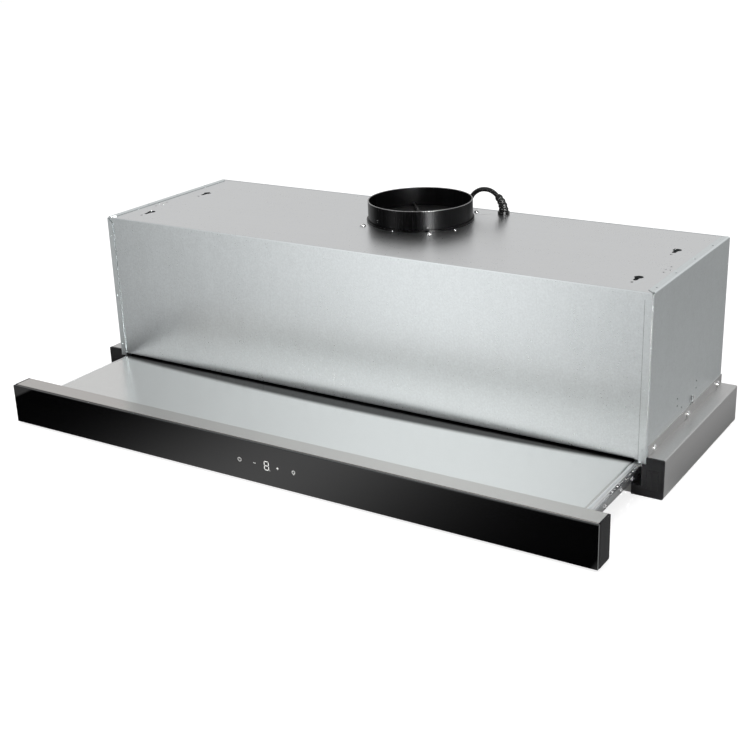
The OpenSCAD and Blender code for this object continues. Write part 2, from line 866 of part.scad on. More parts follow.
// Floor under the tray, which holds the drawer's two filters
module tray_base() {
  half_w = tray_x - sheet - fit;
  w = filter_w(half_w);
  placed() color("tan") difference() {
    union() {
      block([-half_w, visor_back + 2, tray_base_z],
            [half_w, tray_back - 4, tray_base_z + steel]);
      for (side = [-1, 1])
        in_well(half_w, tray_well_y, tray_base_z - 0.2, side) well_walls(w, tray_filter_d);
      for (side = [0, 1])
        mirror([side, 0, 0])
          block([half_w - steel, visor_back + 2, tray_base_z],
                [half_w, tray_back - 4, tray_base_z + tray_base_wall]);
    }
    for (side = [-1, 1]) {
      in_well(half_w, tray_well_y, tray_base_z - 0.2, side) well_cuts(w, tray_filter_d);
      for (y = runner_screws_y)
        bar_x([side * half_w - 3, runner_y + y, runner_screw_z],
              screw_r + play, 6);
    }
  }
}

module left_tray_filter() {
  placed() color("lightgray") in_well(tray_x - sheet - fit, tray_well_y, tray_base_z, -1)
    cassette(filter_w(tray_x - sheet - fit), tray_filter_d);
}

module right_tray_filter() {
  placed() color("lightgray") in_well(tray_x - sheet - fit, tray_well_y, tray_base_z, 1)
    cassette(filter_w(tray_x - sheet - fit), tray_filter_d);
}

module left_tray_latch() {
  placed() color("black") in_well(tray_x - sheet - fit, tray_well_y, tray_base_z, -1)
    latch(filter_w(tray_x - sheet - fit));
}

module right_tray_latch() {
  placed() color("black") in_well(tray_x - sheet - fit, tray_well_y, tray_base_z, 1)
    latch(filter_w(tray_x - sheet - fit));
}

// Section of the visor bar, drawn in by inset on every side
module visor_outline(inset) {
  soft_square([visor_face + inset, visor_lift + inset],
              [visor_back - inset, visor_top - inset], max(bend_r - inset, 0.4));
}

visor_cap_t = 2.5;
touch_x = [-43.4, -19.5, 16.5, 41.2];
touch_z = visor_lift + visor_h / 2;
touch_r = 3.5;
board_w = 130;
board_h = 34;
board_gap = 6;

module visor_bar() {
  half_w = outer_x - visor_cap_t;
  placed() color("rosybrown") difference() {
    along_x(-half_w, 2 * half_w) difference() {
      visor_outline(0);
      visor_outline(steel);
    }
    block([-board_w / 2 + 8, visor_face - cut, touch_z - board_h / 2 + 6],
          [board_w / 2 - 8, visor_face + steel + cut, touch_z + board_h / 2 - 6]);
  }
}

module glass_front() {
  placed() color("black") along_x(-outer_x + 0.3, 2 * outer_x - 0.6)
    soft_square([glass_face, visor_lift + 0.3], [visor_face, visor_top - 0.3], 0.6);
}

module right_visor_cap_shape() {
  along_x(outer_x - visor_cap_t, visor_cap_t) visor_outline(0);
  along_x(outer_x - visor_cap_t - 10, 10) difference() {
    visor_outline(steel + fit);
    visor_outline(steel + fit + 2);
  }
}

module right_visor_cap() {
  placed() color("dimgray") right_visor_cap_shape();
}

module left_visor_cap() {
  placed() color("dimgray") mirror([1, 0, 0]) right_visor_cap_shape();
}

// Touch board on four posts behind the window in the visor bar's front
module touch_board() {
  y = visor_face + steel + board_gap;
  placed() color("darkgreen") {
    block([-board_w / 2, y, touch_z - board_h / 2],
          [board_w / 2, y + 1.6, touch_z + board_h / 2]);
    for (x = [-board_w / 2 + 4, board_w / 2 - 4])
      for (z = [touch_z - board_h / 2 + 3, touch_z + board_h / 2 - 3])
        bar_y([x, visor_face + steel, z], 2.5, board_gap + 0.1);
    block([-6, visor_face + 1, touch_z - 8], [6, y + 0.1, touch_z + 8]);
  }
}

// Contact springs between the board and the glass, one for each touch symbol
module touch_springs() {
  placed() color("gold") for (x = touch_x)
    difference() {
      bar_y([x, visor_face, touch_z], touch_r, steel + board_gap);
      bar_y([x, visor_face - cut, touch_z], touch_r - 1, steel + board_gap + 2 * cut);
    }
}

// ---- Duct collar and damper ----

module duct_collar() {
  flange_z = top_z - sheet - flange_t;
  flange_r = collar_r + flange_out;
  placed() color("black") translate([collar_x, collar_y, 0]) difference() {
    union() {
      translate([0, 0, flange_z - neck_h]) cylinder(r = collar_r, h = collar_top - flange_z + neck_h);
      translate([0, 0, top_z]) cylinder(r = collar_r + bead_out, h = bead_h);
      translate([-flange_r, -flange_r, flange_z]) cube([2 * flange_r, 2 * flange_r, flange_t]);
    }
    translate([0, 0, flange_z - neck_h - cut])
      cylinder(r = collar_r - collar_wall - stop_ring, h = neck_h + collar_h + 10);
    translate([0, 0, flap_z - flap_t / 2 - fit])
      cylinder(r = collar_r - collar_wall, h = collar_h + 10);
    translate([0, 0, flange_z - neck_h - cut])
      cylinder(r = collar_r - collar_wall, h = neck_h - 4);
    for (sx = [-1, 1])
      for (sy = [-1, 1])
        translate([sx * collar_screw_x, sy * collar_screw_y, flange_z - cut])
          cylinder(r = screw_r + play, h = 3 * cut);
    rotate(flap_a) bar_y([0, -collar_r - cut, rod_z], rod_r + play, collar_d + 2 * cut);
  }
}

module collar_screws() {
  placed() color("white") for (sx = [-1, 1])
    for (sy = [-1, 1])
      translate([collar_x + sx * collar_screw_x, collar_y + sy * collar_screw_y, top_z])
        rotate([0, -90, 0]) pan_screw(8);
}

// Turns the damper about the collar's middle, to the direction of its rod
module damper(turn) {
  translate([collar_x, collar_y, 0]) rotate(flap_a + turn) children();
}

module flap_rod() {
  placed() color("silver") damper(0) bar_y([0, -collar_r, rod_z], rod_r, collar_d);
}

// Half-round flap with two knuckles on the hinge rod; the other flap's fit between them
module flap() {
  r = collar_r - collar_wall - 0.8;
  difference() {
    union() {
      intersection() {
        bar_z([0, 0, flap_z - flap_t / 2], r, flap_t);
        block([0.5, -r - cut, flap_z - flap_t], [r + cut, r + cut, flap_z + flap_t]);
      }
      for (y = [-46, 14]) {
        bar_y([0, y, rod_z], knuckle_r, 14);
        block([0.5, y, flap_z - flap_t / 2], [knuckle_r, y + 14, rod_z]);
      }
    }
    bar_y([0, -r, rod_z], rod_r + play, 2 * r);
  }
}

module right_flap() {
  placed() color("black") damper(0) flap();
}

module left_flap() {
  placed() color("black") damper(180) flap();
}

// ---- Blower ----

// Spiral of the scroll, from the cut-off round to the rear, about the impeller's axis
function spiral(extra) = [
  for (a = [cutoff_a:(360 - cutoff_a) / 24:360])
    let (r = volute_start + extra + (volute_end - volute_start) * (a - cutoff_a) / (360 - cutoff_a))
    [r * cos(a), r * sin(a)]
];

module scroll_outline(extra) {
  polygon(concat(spiral(extra), [[volute_end + extra, volute_end], [0, volute_end]]));
  translate([-extra, 0]) square([volute_end + 2 * extra, roof_z - blower_z]);
}

module blower_scroll() {
  placed() color("lightslategray") translate([collar_x, 0, 0]) difference() {
    union() {
      intersection() {
        along_x(-scroll_w / 2, scroll_w)
          translate([blower_y, blower_z]) scroll_outline(volute_t);
        block([-scroll_w, 0, 0], [scroll_w, casing_d, roof_z - fit]);
      }
      block([-scroll_w / 2, collar_y - collar_r - 1, roof_z - fit - roof_t],
            [scroll_w / 2, collar_y + collar_r + 1, roof_z - fit]);
    }
    intersection() {
      along_x(-scroll_w / 2 + volute_t, scroll_w - 2 * volute_t)
        translate([blower_y, blower_z]) scroll_outline(0);
      block([-scroll_w, 0, 0], [scroll_w, casing_d, roof_z - fit - roof_t]);
    }
    bar_x([-scroll_w, blower_y, blower_z], inlet_r, 2 * scroll_w);
    intersection() {
      bar_z([0, collar_y, roof_z - 5 * roof_t], collar_r - collar_wall, 6 * roof_t);
      block([-collar_r, blower_y + 2, roof_z - 5 * roof_t],
            [collar_r, blower_y + volute_end - 1, roof_z + roof_t]);
    }
  }
}

// One curved blade, as an arc of even thickness
blade_t = 1;
function blade_arc(shift) = [
  for (k = [0:5])
    let (r = impeller_d / 2 - 0.6 - blade_depth * k / 5, a = 14 * sin(90 * k / 5) + shift)
    [r * cos(a), r * sin(a)]
];

function blade_outline() = let (b = blade_arc(blade_t), f = blade_arc(0))
  concat(f, [for (k = [5:-1:0]) b[k]]);

module impeller() {
  r = impeller_d / 2;
  placed() color("gray") translate([collar_x, blower_y, blower_z]) rotate([90, 0, 90]) {
    translate([0, 0, 1 - impeller_w / 2]) linear_extrude(impeller_w - 2)
      for (i = [0:blades - 1])
        rotate(360 * (i + blade_shift) / blades) polygon(blade_outline());
    for (x = [-impeller_w / 2, impeller_w / 2 - 2])
      translate([0, 0, x]) difference() {
        cylinder(r = r, h = 2);
        translate([0, 0, -cut]) cylinder(r = r - blade_depth + 1, h = 2 + 2 * cut);
      }
    difference() {
      union() {
        translate([0, 0, -1.5]) cylinder(r = r, h = 3);
        translate([0, 0, -14]) cylinder(r = 12, h = 13);
      }
      translate([0, 0, -15]) cylinder(r = shaft_r, h = 20);
    }
  }
}

module motor_shaft() {
  placed() color("silver") bar_x([collar_x - 14, blower_y, blower_z], shaft_r, 14 + 12);
}

module motor() {
  placed() color("darkslategray") translate([collar_x + 5, blower_y, blower_z])
    rotate([0, 90, 0]) difference() {
      union() {
        cylinder(d1 = motor_d - 8, d2 = motor_d, h = 4);
        translate([0, 0, 4]) cylinder(d = motor_d, h = motor_len - 8);
        translate([0, 0, motor_len - 4]) cylinder(d1 = motor_d, d2 = motor_d - 8, h = 4);
      }
      translate([0, 0, -cut]) cylinder(r = shaft_r + play, h = 12);
    }
}

// Ring and three arms that hold the motor's tube in the scroll's right inlet
module motor_bracket() {
  tube_r = motor_d / 2 - 4;
  reach = scroll_w / 2 - 5 - motor_len;
  placed() color("dimgray") translate([collar_x + scroll_w / 2, blower_y, blower_z])
    rotate([0, 90, 0]) {
      linear_extrude(2) {
        difference() {
          circle(inlet_r + 9);
          circle(inlet_r);
        }
        for (a = [0, 120, 240])
          rotate(a) translate([tube_r - 3, -6]) square([inlet_r - tube_r + 6, 12]);
      }
      translate([0, 0, -reach]) difference() {
        cylinder(r = tube_r, h = reach + 3);
        translate([0, 0, -cut]) cylinder(r = tube_r - 6, h = reach + 3 + 2 * cut);
      }
    }
}

// ---- Controls ----

module control_box() {
  low = [box_x, box_y, top_z - sheet - box_h];
  high = [box_x + box_w, box_y + box_d, top_z - sheet];
  wall = [box_t, box_t, 0];
  placed() color("lightgray") difference() {
    block(low, high);
    block(low + wall - [0, 0, cut], high - wall - [0, 0, box_t]);
    bar_z([boot_foot[0], boot_foot[1], high[2] - box_t - cut], boot_thread_r + fit,
          box_t + 2 * cut);
  }
}

module control_box_lid() {
  z = top_z - sheet - box_h;
  placed() color("gray") {
    block([box_x - lid_over, box_y - lid_over, z - box_t],
          [box_x + box_w + lid_over, box_y + box_d + lid_over, z]);
    for (x = [box_x + box_t + fit, box_x + box_w - 2 * box_t - fit])
      block([x, box_y + 8, z - 0.1], [x + box_t, box_y + box_d - 8, z + 6]);
  }
}

// A block on the power board, at a place from the box's corner
module on_board(place, size, z) {
  translate([box_x + place[0], box_y + place[1], z]) cube(size + [0, 0, board_t]);
}

module power_board() {
  z = top_z - sheet - box_h + board_lift;
  foot = board_inset + 3;
  placed() color("darkgreen") {
    block([box_x + board_inset, box_y + board_inset, z],
          [box_x + box_w - board_inset, box_y + box_d - board_inset, z + board_t]);
    on_board(transformer_at, transformer, z);
    on_board(relay_at, relay, z);
    for (x = [foot, box_w - foot - 4])
      for (y = [foot, box_d - foot - 4])
        block([box_x + x, box_y + y, z - board_lift], [box_x + x + 4, box_y + y + 4, z + 0.5]);
  }
}

module capacitor() {
  placed() color("ivory")
    bar_x([box_x + box_w, box_y + box_d / 2, top_z - sheet - capacitor_r],
          capacitor_r, capacitor_len);
}

// ---- Cord ----

function unit(v) = v / norm(v);

function heading(path, i) =
  unit(path[min(i + 1, len(path) - 1)] - path[max(i - 1, 0)]);

// Point of a smooth line between b and c, with a before them and d after
function between(a, b, c, d, t) = 0.5 * (2 * b + (c - a) * t
  + (2 * a - 5 * b + 4 * c - d) * t * t + (3 * b - a - 3 * c + d) * t * t * t);

function smooth(p, steps) = concat([
  for (i = [0:len(p) - 2]) for (k = [0:steps - 1])
    between(p[max(i - 1, 0)], p[i], p[i + 1], p[min(i + 2, len(p) - 1)], k / steps)
], [p[len(p) - 1]]);

// Closed tube along a path, with a radius at every point; across is never along it
module tube(path, radii, sides, across) {
  n = len(path);
  points = [
    for (i = [0:n - 1])
      let (t = heading(path, i), a = unit(cross(across, t)), b = cross(t, a))
      for (k = [0:sides - 1])
        path[i] + radii[i] * (a * cos(360 * k / sides) + b * sin(360 * k / sides))
  ];
  skin = [
    for (i = [0:n - 2]) for (k = [0:sides - 1])
      let (l = (k + 1) % sides, p = i * sides, q = p + sides)
      each [[p + k, q + k, q + l], [p + k, q + l, p + l]]
  ];
  ends = [
    for (k = [1:sides - 2])
      each [[0, k, k + 1], [(n - 1) * sides, (n - 1) * sides + k + 1, (n - 1) * sides + k]]
  ];
  polyhedron(points, concat(skin, ends));
}

function same(r, path) = [for (p = path) r];

module cord() {
  path = smooth(concat([boot_point(boot_turn)], cord_route), 2);
  placed() color("black") tube(path, same(cord_r, path), 10, [0, 1, 0.05]);
}

// The coil spirals in on the ground, climbs a layer in half a turn and spirals out again
function coil_r(t) = t < coil_turns ? coil_out_r - turn_pitch * t
  : t < coil_turns + 0.5 ? coil_in_r - turn_pitch / 4 * sin(360 * (t - coil_turns))
  : coil_in_r + turn_pitch * (t - coil_turns - 0.5);

function coil_climb(t) =
  let (u = min(max((t - coil_turns) * 2, 0), 1)) coil_z + turn_pitch * u * u * (3 - 2 * u);

function coil_point(t) = [
  coil_at[0] - coil_r(t) * sin(360 * t),
  coil_at[1] + coil_out_r - coil_r(t) * cos(360 * t),
  coil_climb(t)
];

coil_loop = [for (i = [0:coil_rings * (2 * coil_turns + 0.5)]) coil_point(i / coil_rings)];
coil_gap = min([
  for (i = [0:len(coil_loop) - 1]) for (j = [i + coil_rings / 2:1:len(coil_loop) - 1])
    norm(coil_loop[i] - coil_loop[j])
]) - cord_d;

module cord_coil() {
  last = coil_loop[len(coil_loop) - 1];
  path = concat([coil_loop[0] + [coil_lead, 0, 0], coil_loop[0] + [coil_lead / 9, 0, 0]],
    [for (i = [1:len(coil_loop) - 2]) coil_loop[i]],
    [last, last + [coil_tail, 0, 0]]);
  echo("Least gap of the coil to itself, in mm", coil_gap);
  placed() color("black") tube(path, same(cord_r, path), 6, [0, 0, 1]);
}

// Middle line of the boot, which bends over from upright towards the collar
function boot_point(a) = [
  boot_foot[0] - boot_bend * (1 - cos(a)),
  boot_foot[1],
  top_z + 3 + boot_bend * sin(a)
];

// Ribbed and tapering boot with a round nut on the casing's top
module cord_boot() {
  path = [for (i = [0:boot_rings]) boot_point(boot_turn * i / boot_rings)];
  radii = [for (i = [0:boot_rings]) 6.6 - 2 * i / boot_rings + (i % 4 > 1 ? 0.7 : 0)];
  placed() color("black") {
    tube(path, radii, 12, [0, 1, 0]);
    bar_z([boot_foot[0], boot_foot[1], top_z], boot_nut_r, boot_nut_h);
    bar_z([boot_foot[0], boot_foot[1], top_z - sheet - box_t - 2], boot_thread_r,
          sheet + box_t + 3);
  }
}

plug_sleeve = 28;
plug_len = 34;
plug_w = 26;
plug_h = 2 * (plug_z - 0.1);
blade_gap = 12.7;
blade_w = 6.3;
blade_thick = 1.5;
blade_len = 17;
earth_r = 2.4;
earth_len = 20;

// Moulded plug on the ground, with a ribbed sleeve and a grip waist
module plug_body() {
  placed() color("black") translate([plug_x, plug_y, plug_z]) {
    rotate([0, 90, 0]) cylinder(r1 = cord_r + 0.8, r2 = 6.5, h = plug_sleeve + cut);
    for (x = [5:6:plug_sleeve - 4])
      translate([x, 0, 0]) rotate([0, 90, 0]) cylinder(r = 5.4 + x / 14, h = 2.4);
    hull() {
      translate([plug_sleeve, 0, 0]) rotate([0, 90, 0]) cylinder(r = 7.5, h = 1);
      translate([plug_sleeve + 14, 0, 0]) plug_slab(2);
    }
    hull() {
      translate([plug_sleeve + 14, 0, 0]) plug_slab(2);
      translate([plug_sleeve + plug_len - 3, 0, 0]) plug_slab(3);
    }
  }
}

module plug_slab(t) {
  r = 6;
  for (y = [-1, 1])
    for (z = [-1, 1])
      translate([0, y * (plug_w / 2 - r), z * (plug_h / 2 - r)])
        rotate([0, 90, 0]) cylinder(r = r, h = t, $fn = 24);
}

// Two flat blades and a round earth pin
module plug_blades() {
  x = plug_x + plug_sleeve + plug_len;
  placed() color("gold") {
    for (y = [-blade_gap / 2, blade_gap / 2])
      translate([x, plug_y + y - blade_thick / 2, plug_z - 5.2])
        cube([blade_len, blade_thick, blade_w]);
    bar_x([x, plug_y, plug_z + 6], earth_r, earth_len);
  }
}

front_panel();
top_panel();
rear_panel();
left_side_panel();
right_side_panel();
left_side_frame();
right_side_frame();
left_frame_cap();
right_frame_cap();
flange_screws();
hook_clips();
base_pan();
left_filter();
right_filter();
left_filter_latch();
right_filter_latch();
lamps();
lamp_lenses();
left_slide_rail();
right_slide_rail();
left_ball_cage();
right_ball_cage();
left_slide_balls();
right_slide_balls();
left_runner();
right_runner();
runner_screws();
tray_plate();
tray_base();
left_tray_filter();
right_tray_filter();
left_tray_latch();
right_tray_latch();
visor_bar();
glass_front();
left_visor_cap();
right_visor_cap();
touch_board();
touch_springs();
duct_collar();
collar_screws();
flap_rod();
left_flap();
right_flap();
blower_scroll();
impeller();
motor_shaft();
motor();
motor_bracket();
control_box();
control_box_lid();
power_board();
capacitor();
cord_boot();
cord();
cord_coil();
plug_body();
plug_blades();
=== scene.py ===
"""Looks of a pull-out range hood: its finishes, screws, collar studs, cord and touch signs."""

import logging
import math
from dataclasses import dataclass
from enum import Enum
from typing import Any, Callable, Iterable, Sequence

import bmesh
import bpy
from mathutils import Matrix, Vector


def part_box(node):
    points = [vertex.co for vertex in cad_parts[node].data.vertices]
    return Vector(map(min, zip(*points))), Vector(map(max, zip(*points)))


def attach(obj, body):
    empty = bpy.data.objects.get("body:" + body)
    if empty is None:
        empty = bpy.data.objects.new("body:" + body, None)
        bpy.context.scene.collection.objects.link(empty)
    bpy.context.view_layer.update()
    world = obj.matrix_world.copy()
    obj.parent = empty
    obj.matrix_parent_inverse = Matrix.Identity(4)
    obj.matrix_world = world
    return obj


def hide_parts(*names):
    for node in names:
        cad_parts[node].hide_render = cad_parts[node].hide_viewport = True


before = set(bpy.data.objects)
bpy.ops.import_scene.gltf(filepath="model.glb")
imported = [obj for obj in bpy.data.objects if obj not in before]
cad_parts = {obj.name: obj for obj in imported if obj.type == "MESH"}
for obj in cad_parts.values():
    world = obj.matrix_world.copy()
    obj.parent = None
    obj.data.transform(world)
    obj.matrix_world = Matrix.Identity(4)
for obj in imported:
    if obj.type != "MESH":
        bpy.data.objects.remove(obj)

log = logging.getLogger("range_hood")

MM = 0.001
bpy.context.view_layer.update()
SIDE_LOW, SIDE_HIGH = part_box("right_side_panel")
FRONT_Y = SIDE_LOW[1]
LAP_X, CASING_BACK, CASING_TOP = SIDE_HIGH
EVEN = (1.0, 1.0, 1.0)
Mesh = bpy.types.Mesh
Shape = bmesh.types.BMesh
Point = Sequence[float]
Line = list[tuple[float, float]]
Colour = tuple[float, float, float]


def at(x: float, y: float, z: float) -> Vector:
    """Place in metres of a point given in millimetres, with y from the casing's front."""
    return Vector((x * MM, FRONT_Y + y * MM, z * MM))


def middle_of(name: str) -> Vector:
    """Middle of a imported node's box."""
    low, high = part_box(name)
    return (Vector(low) + Vector(high)) / 2


class Axis(Enum):
    """Direction in which a sheet is brushed or a screw is driven."""

    X = (1.0, 0.0, 0.0)
    Y = (0.0, 1.0, 0.0)
    Z = (0.0, 0.0, 1.0)


class Body(Enum):
    """Bodies that the new pieces ride on."""

    HOUSING = "housing"
    DRAWER = "drawer"


# ---- Shader and geometry nodes ----


def maths(operation: str) -> Callable[..., "Value"]:
    """Makes a method of Value that adds one Math node.

    Args:
        operation: the node's operation.

    Returns:
        The method, which takes the node's other operands.
    """

    def method(self: "Value", *others: Any) -> "Value":
        """Adds the node and gives its result."""
        operands = dict(enumerate((self, *others)))
        made = self.graph.node("ShaderNodeMath", operands, operation=operation)
        return Value(self.graph, made.outputs[0])

    return method


@dataclass
class Value:
    """One float socket of a shader tree, on which Python's operators add Math nodes.

    Args:
        graph: the graph that the socket is in.
        socket: the output socket, or a plain number.
    """

    graph: "Graph"
    socket: Any

    __add__ = __radd__ = maths("ADD")
    __sub__ = maths("SUBTRACT")
    __mul__ = __rmul__ = maths("MULTIPLY")
    __truediv__ = maths("DIVIDE")
    __abs__ = maths("ABSOLUTE")
    exp = maths("EXPONENT")
    larger = maths("MAXIMUM")
    smaller = maths("MINIMUM")
    turn = maths("ARCTAN2")  # angle with this value as its sine and the other as its cosine

    def __rsub__(self, other: float) -> "Value":
        """Difference, with the number first."""
        return Value(self.graph, other) - self

    def __neg__(self) -> "Value":
        """Opposite."""
        return self * -1.0

    def bell(self, middle: float, spread: float) -> "Value":
        """Bell curve of height 1 round a middle, with its standard deviation."""
        offset = (self - middle) / spread
        return (offset * offset * -0.5).exp()

    def step(self, low: float, high: float) -> "Value":
        """Smooth step from 0 at low to 1 at high; low may be the larger one."""
        ends = {"Value": self, "From Min": low, "From Max": high}
        made = self.graph.node("ShaderNodeMapRange", ends, interpolation_type="SMOOTHSTEP")
        return Value(self.graph, made.outputs["Result"])

    def toward(self, other: Any, share: "Value") -> "Value":
        """This value where the share is 0, the other one where it is 1."""
        return self * (1 - share) + share * other


class Graph:
    """A node tree, of a material, of the world or of a geometry modifier."""

    NOISE_SPREAD = 1.8

    def __init__(self, tree: bpy.types.NodeTree) -> None:
        """Keeps a tree and empties it."""
        self.tree = tree
        tree.nodes.clear()

    def node(self, kind: str, inputs: dict[Any, Any] | None = None, **settings: Any) -> Any:
        """Adds any node.

        Args:
            kind: the node's type.
            inputs: values or sockets of its inputs, by name or number.
            settings: its own properties, set first.

        Returns:
            The new node.
        """
        made = self.tree.nodes.new(kind)
        for name, value in settings.items():
            setattr(made, name, value)
        for name, value in (inputs or {}).items():
            plain = value.socket if isinstance(value, Value) else value
            if isinstance(plain, bpy.types.NodeSocket):
                self.tree.links.new(plain, made.inputs[name])
            else:
                made.inputs[name].default_value = plain
        return made

    def object_point(self, stretch: Point = EVEN) -> Any:
        """Socket of the Object coordinates, with a factor on each axis."""
        place = self.node("ShaderNodeTexCoord").outputs["Object"]
        return self.node("ShaderNodeMapping", {"Vector": place, "Scale": stretch}).outputs[0]

    def parts(self, vector: Any) -> tuple[Value, Value, Value]:
        """The three parts of a vector as values."""
        split = self.node("ShaderNodeSeparateXYZ", {"Vector": vector})
        x, y, z = (Value(self, socket) for socket in split.outputs)
        return x, y, z

    def noise(
        self, scale: float, stretch: Point = EVEN, detail: float = 2.0, rough: float = 0.5
    ) -> Value:
        """Noise on object coordinates, spread out to about 0 to 1.

        Args:
            scale: waves in a metre.
            stretch: factors on the axes: a small one draws the noise out along its axis.
            detail: octaves.
            rough: share of the finer octaves.

        Returns:
            The noise.
        """
        place = self.object_point(stretch)
        inputs = {"Vector": place, "Scale": scale, "Detail": detail, "Roughness": rough}
        made = self.node("ShaderNodeTexNoise", inputs)
        return (Value(self, made.outputs["Fac"]) - 0.5) * self.NOISE_SPREAD + 0.5

    def cells(self, scale: float, stretch: Point = EVEN) -> Value:
        """Random grey of each cell of a cellular pattern, for the spangle of zinc.

        Args:
            scale: cells in a metre.
            stretch: factors on the axes.

        Returns:
            A value from 0 to 1 that is even within a cell.
        """
        inputs = {"Vector": self.object_point(stretch), "Scale": scale}
        made = self.node("ShaderNodeTexVoronoi", inputs)
        split = self.node("ShaderNodeSeparateColor", {"Color": made.outputs["Color"]})
        return Value(self, split.outputs["Red"])

    def blend(self, share: Value, low: Any, high: Any) -> Any:
        """Mixes two colours, or sockets of colours: the low one at share 0, the high one at 1."""
        inputs = {0: share, 6: full(low), 7: full(high)}
        return self.node("ShaderNodeMix", inputs, data_type="RGBA").outputs[2]

    def switch(self, share: Any, low: Any, high: Any) -> Any:
        """Mixes two shader nodes: the low one at share 0 and the high one at 1."""
        ends = {1: low.outputs[0], 2: high.outputs[0]}
        return self.node("ShaderNodeMixShader", {0: share, **ends})

    def shades(self, share: Value, colour: Colour, low: float, high: float) -> Any:
        """Mixes two shades of one colour, each given by its factor."""
        return self.blend(share, tint(colour, low), tint(colour, high))

    def bump(self, height: Value, depth: float, strength: float) -> Any:
        """Normal socket of a bump whose height from 0 to 1 is so many metres deep."""
        inputs = {"Height": height, "Distance": depth, "Strength": strength}
        return self.node("ShaderNodeBump", inputs).outputs["Normal"]

    def surface(self, **inputs: Any) -> None:
        """Adds the Principled shader and the output.

        Args:
            inputs: the shader's inputs, with _ for each space in their names.
        """
        named = {name.replace("_", " "): value for name, value in inputs.items()}
        named["Specular IOR Level"] = named.pop("Specular", 0.5)
        shader = self.node("ShaderNodeBsdfPrincipled", named)
        self.node("ShaderNodeOutputMaterial", {"Surface": shader.outputs[0]})


def tint(colour: Colour, factor: float) -> Colour:
    """The colour made lighter or darker by a factor."""
    return tuple(min(1.0, part * factor) for part in colour)


def full(colour: Any) -> Any:
    """The colour with its opacity; a socket stays as it is."""
    return (*colour, 1.0) if isinstance(colour, tuple) else colour


# ---- Finishes ----


@dataclass(frozen=True)
class Finish:
    """A surface finish that makes one material when it is first used."""

    name: str

    def build(self, graph: Graph) -> None:
        """Adds the finish's nodes to its material's tree."""
        raise NotImplementedError

    def material(self) -> bpy.types.Material:
        """The finish's material, made once."""
        title = f"{self.name}_finish"
        found = bpy.data.materials.get(title)
        if found is None:
            found = bpy.data.materials.new(title)
            found.use_nodes = True
            self.build(Graph(found.node_tree))
        return found

    def wear(self, *names: str) -> None:
        """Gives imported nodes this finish.

        Args:
            names: the nodes.
        """
        for name in names:
            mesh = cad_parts[name].data
            mesh.materials.clear()
            mesh.materials.append(self.material())
            log.info("%s wears %s", name, self.name)


Marks = list[tuple[Value, float]]  # where a mark lies, and what it does to the colour


@dataclass(frozen=True)
class SheetSteel(Finish):
    """Bare sheet, brushed or drawn along one axis, with an optional zinc spangle.

    The sizes of its patterns are in waves or cells to a metre.
    """

    colour: Colour = (0.78, 0.80, 0.81)
    along: Axis = Axis.Z
    roughness: float = 0.34
    grain: float = 0.10
    lines: float = 700.0
    spangle: float = 0.0
    drawn_out: float = 0.05
    mottle_scale: float = 430.0
    cloud_scale: float = 7.0
    spangle_scale: float = 150.0
    gloss_range: float = 0.12
    bump_depth: float = 0.00001

    def marks(self, graph: Graph) -> Marks:
        """The marks that only one sheet has; a plain sheet has none."""
        return []

    def build(self, graph: Graph) -> None:
        """Varies colour, roughness and height by streaks drawn out along the axis.

        Args:
            graph: the material's tree.
        """
        stretch = tuple(self.drawn_out if part else 1.0 for part in self.along.value)
        fine = graph.noise(self.lines, stretch, 3.0, 0.6)
        broad = graph.noise(self.lines / 16, stretch)
        mottle = graph.noise(self.mottle_scale)
        clouds = graph.noise(self.cloud_scale)
        streak = fine * 0.22 + broad * 0.1 + mottle * 0.53 + clouds * 0.15
        if self.spangle:
            streak = streak.toward(graph.cells(self.spangle_scale), Value(graph, self.spangle))
        colour = graph.shades(streak, self.colour, 1 - self.grain, 1 + self.grain)
        for share, factor in self.marks(graph):
            colour = graph.blend(share, colour, tint(self.colour, factor))
        graph.surface(
            Base_Color=colour,
            Metallic=1.0,
            Roughness=streak * self.gloss_range + (self.roughness - self.gloss_range / 2),
            Normal=graph.bump(fine * 0.6 + mottle * 0.4, self.bump_depth, 0.5),
        )


class Face(Enum):
    """The casing's faces: the side panels are folded over its front and its top."""

    FRONT = "front"
    TOP = "top"
    SIDE = "side"


@dataclass(frozen=True)
class LappedSheet(SheetSteel):
    """Sheet of the casing, with a painted highlight on its bend and painted shade at the mitred
    laps' edges.
    """

    face: Face = Face.FRONT
    lap: float = 0.0105
    joint: float = 0.00035
    joint_shade_tint: float = 0.2
    fold_highlight: float = 0.00144
    fold_highlight_tint: float = 1.13

    def marks(self, graph: Graph) -> Marks:
        """The painted highlight on the bend, and thin painted shade along the laps' edges and
        mitres.

        Args:
            graph: the material's tree.

        Returns:
            Each mark's share and factor.
        """
        x, y, z = graph.parts(graph.object_point())
        down = CASING_TOP - z
        inward = {
            Face.FRONT: down,
            Face.TOP: (y - FRONT_Y).smaller(CASING_BACK - y),
            Face.SIDE: down.smaller(y - FRONT_Y).larger(LAP_X - abs(x)),
        }[self.face]
        # painted highlight: the sheet is lighter along its bend
        fold_highlight = (inward.step(2 * self.fold_highlight, self.fold_highlight), self.fold_highlight_tint)
        if self.face is Face.SIDE:
            return [fold_highlight]
        mitre = (self.lap - inward).larger(0.0)
        # painted shade: a thin darker line for the gap under each lap's edge
        joint = (abs(x) - mitre - (LAP_X - self.lap)).bell(-self.joint, self.joint)
        return [fold_highlight, (joint, self.joint_shade_tint)]


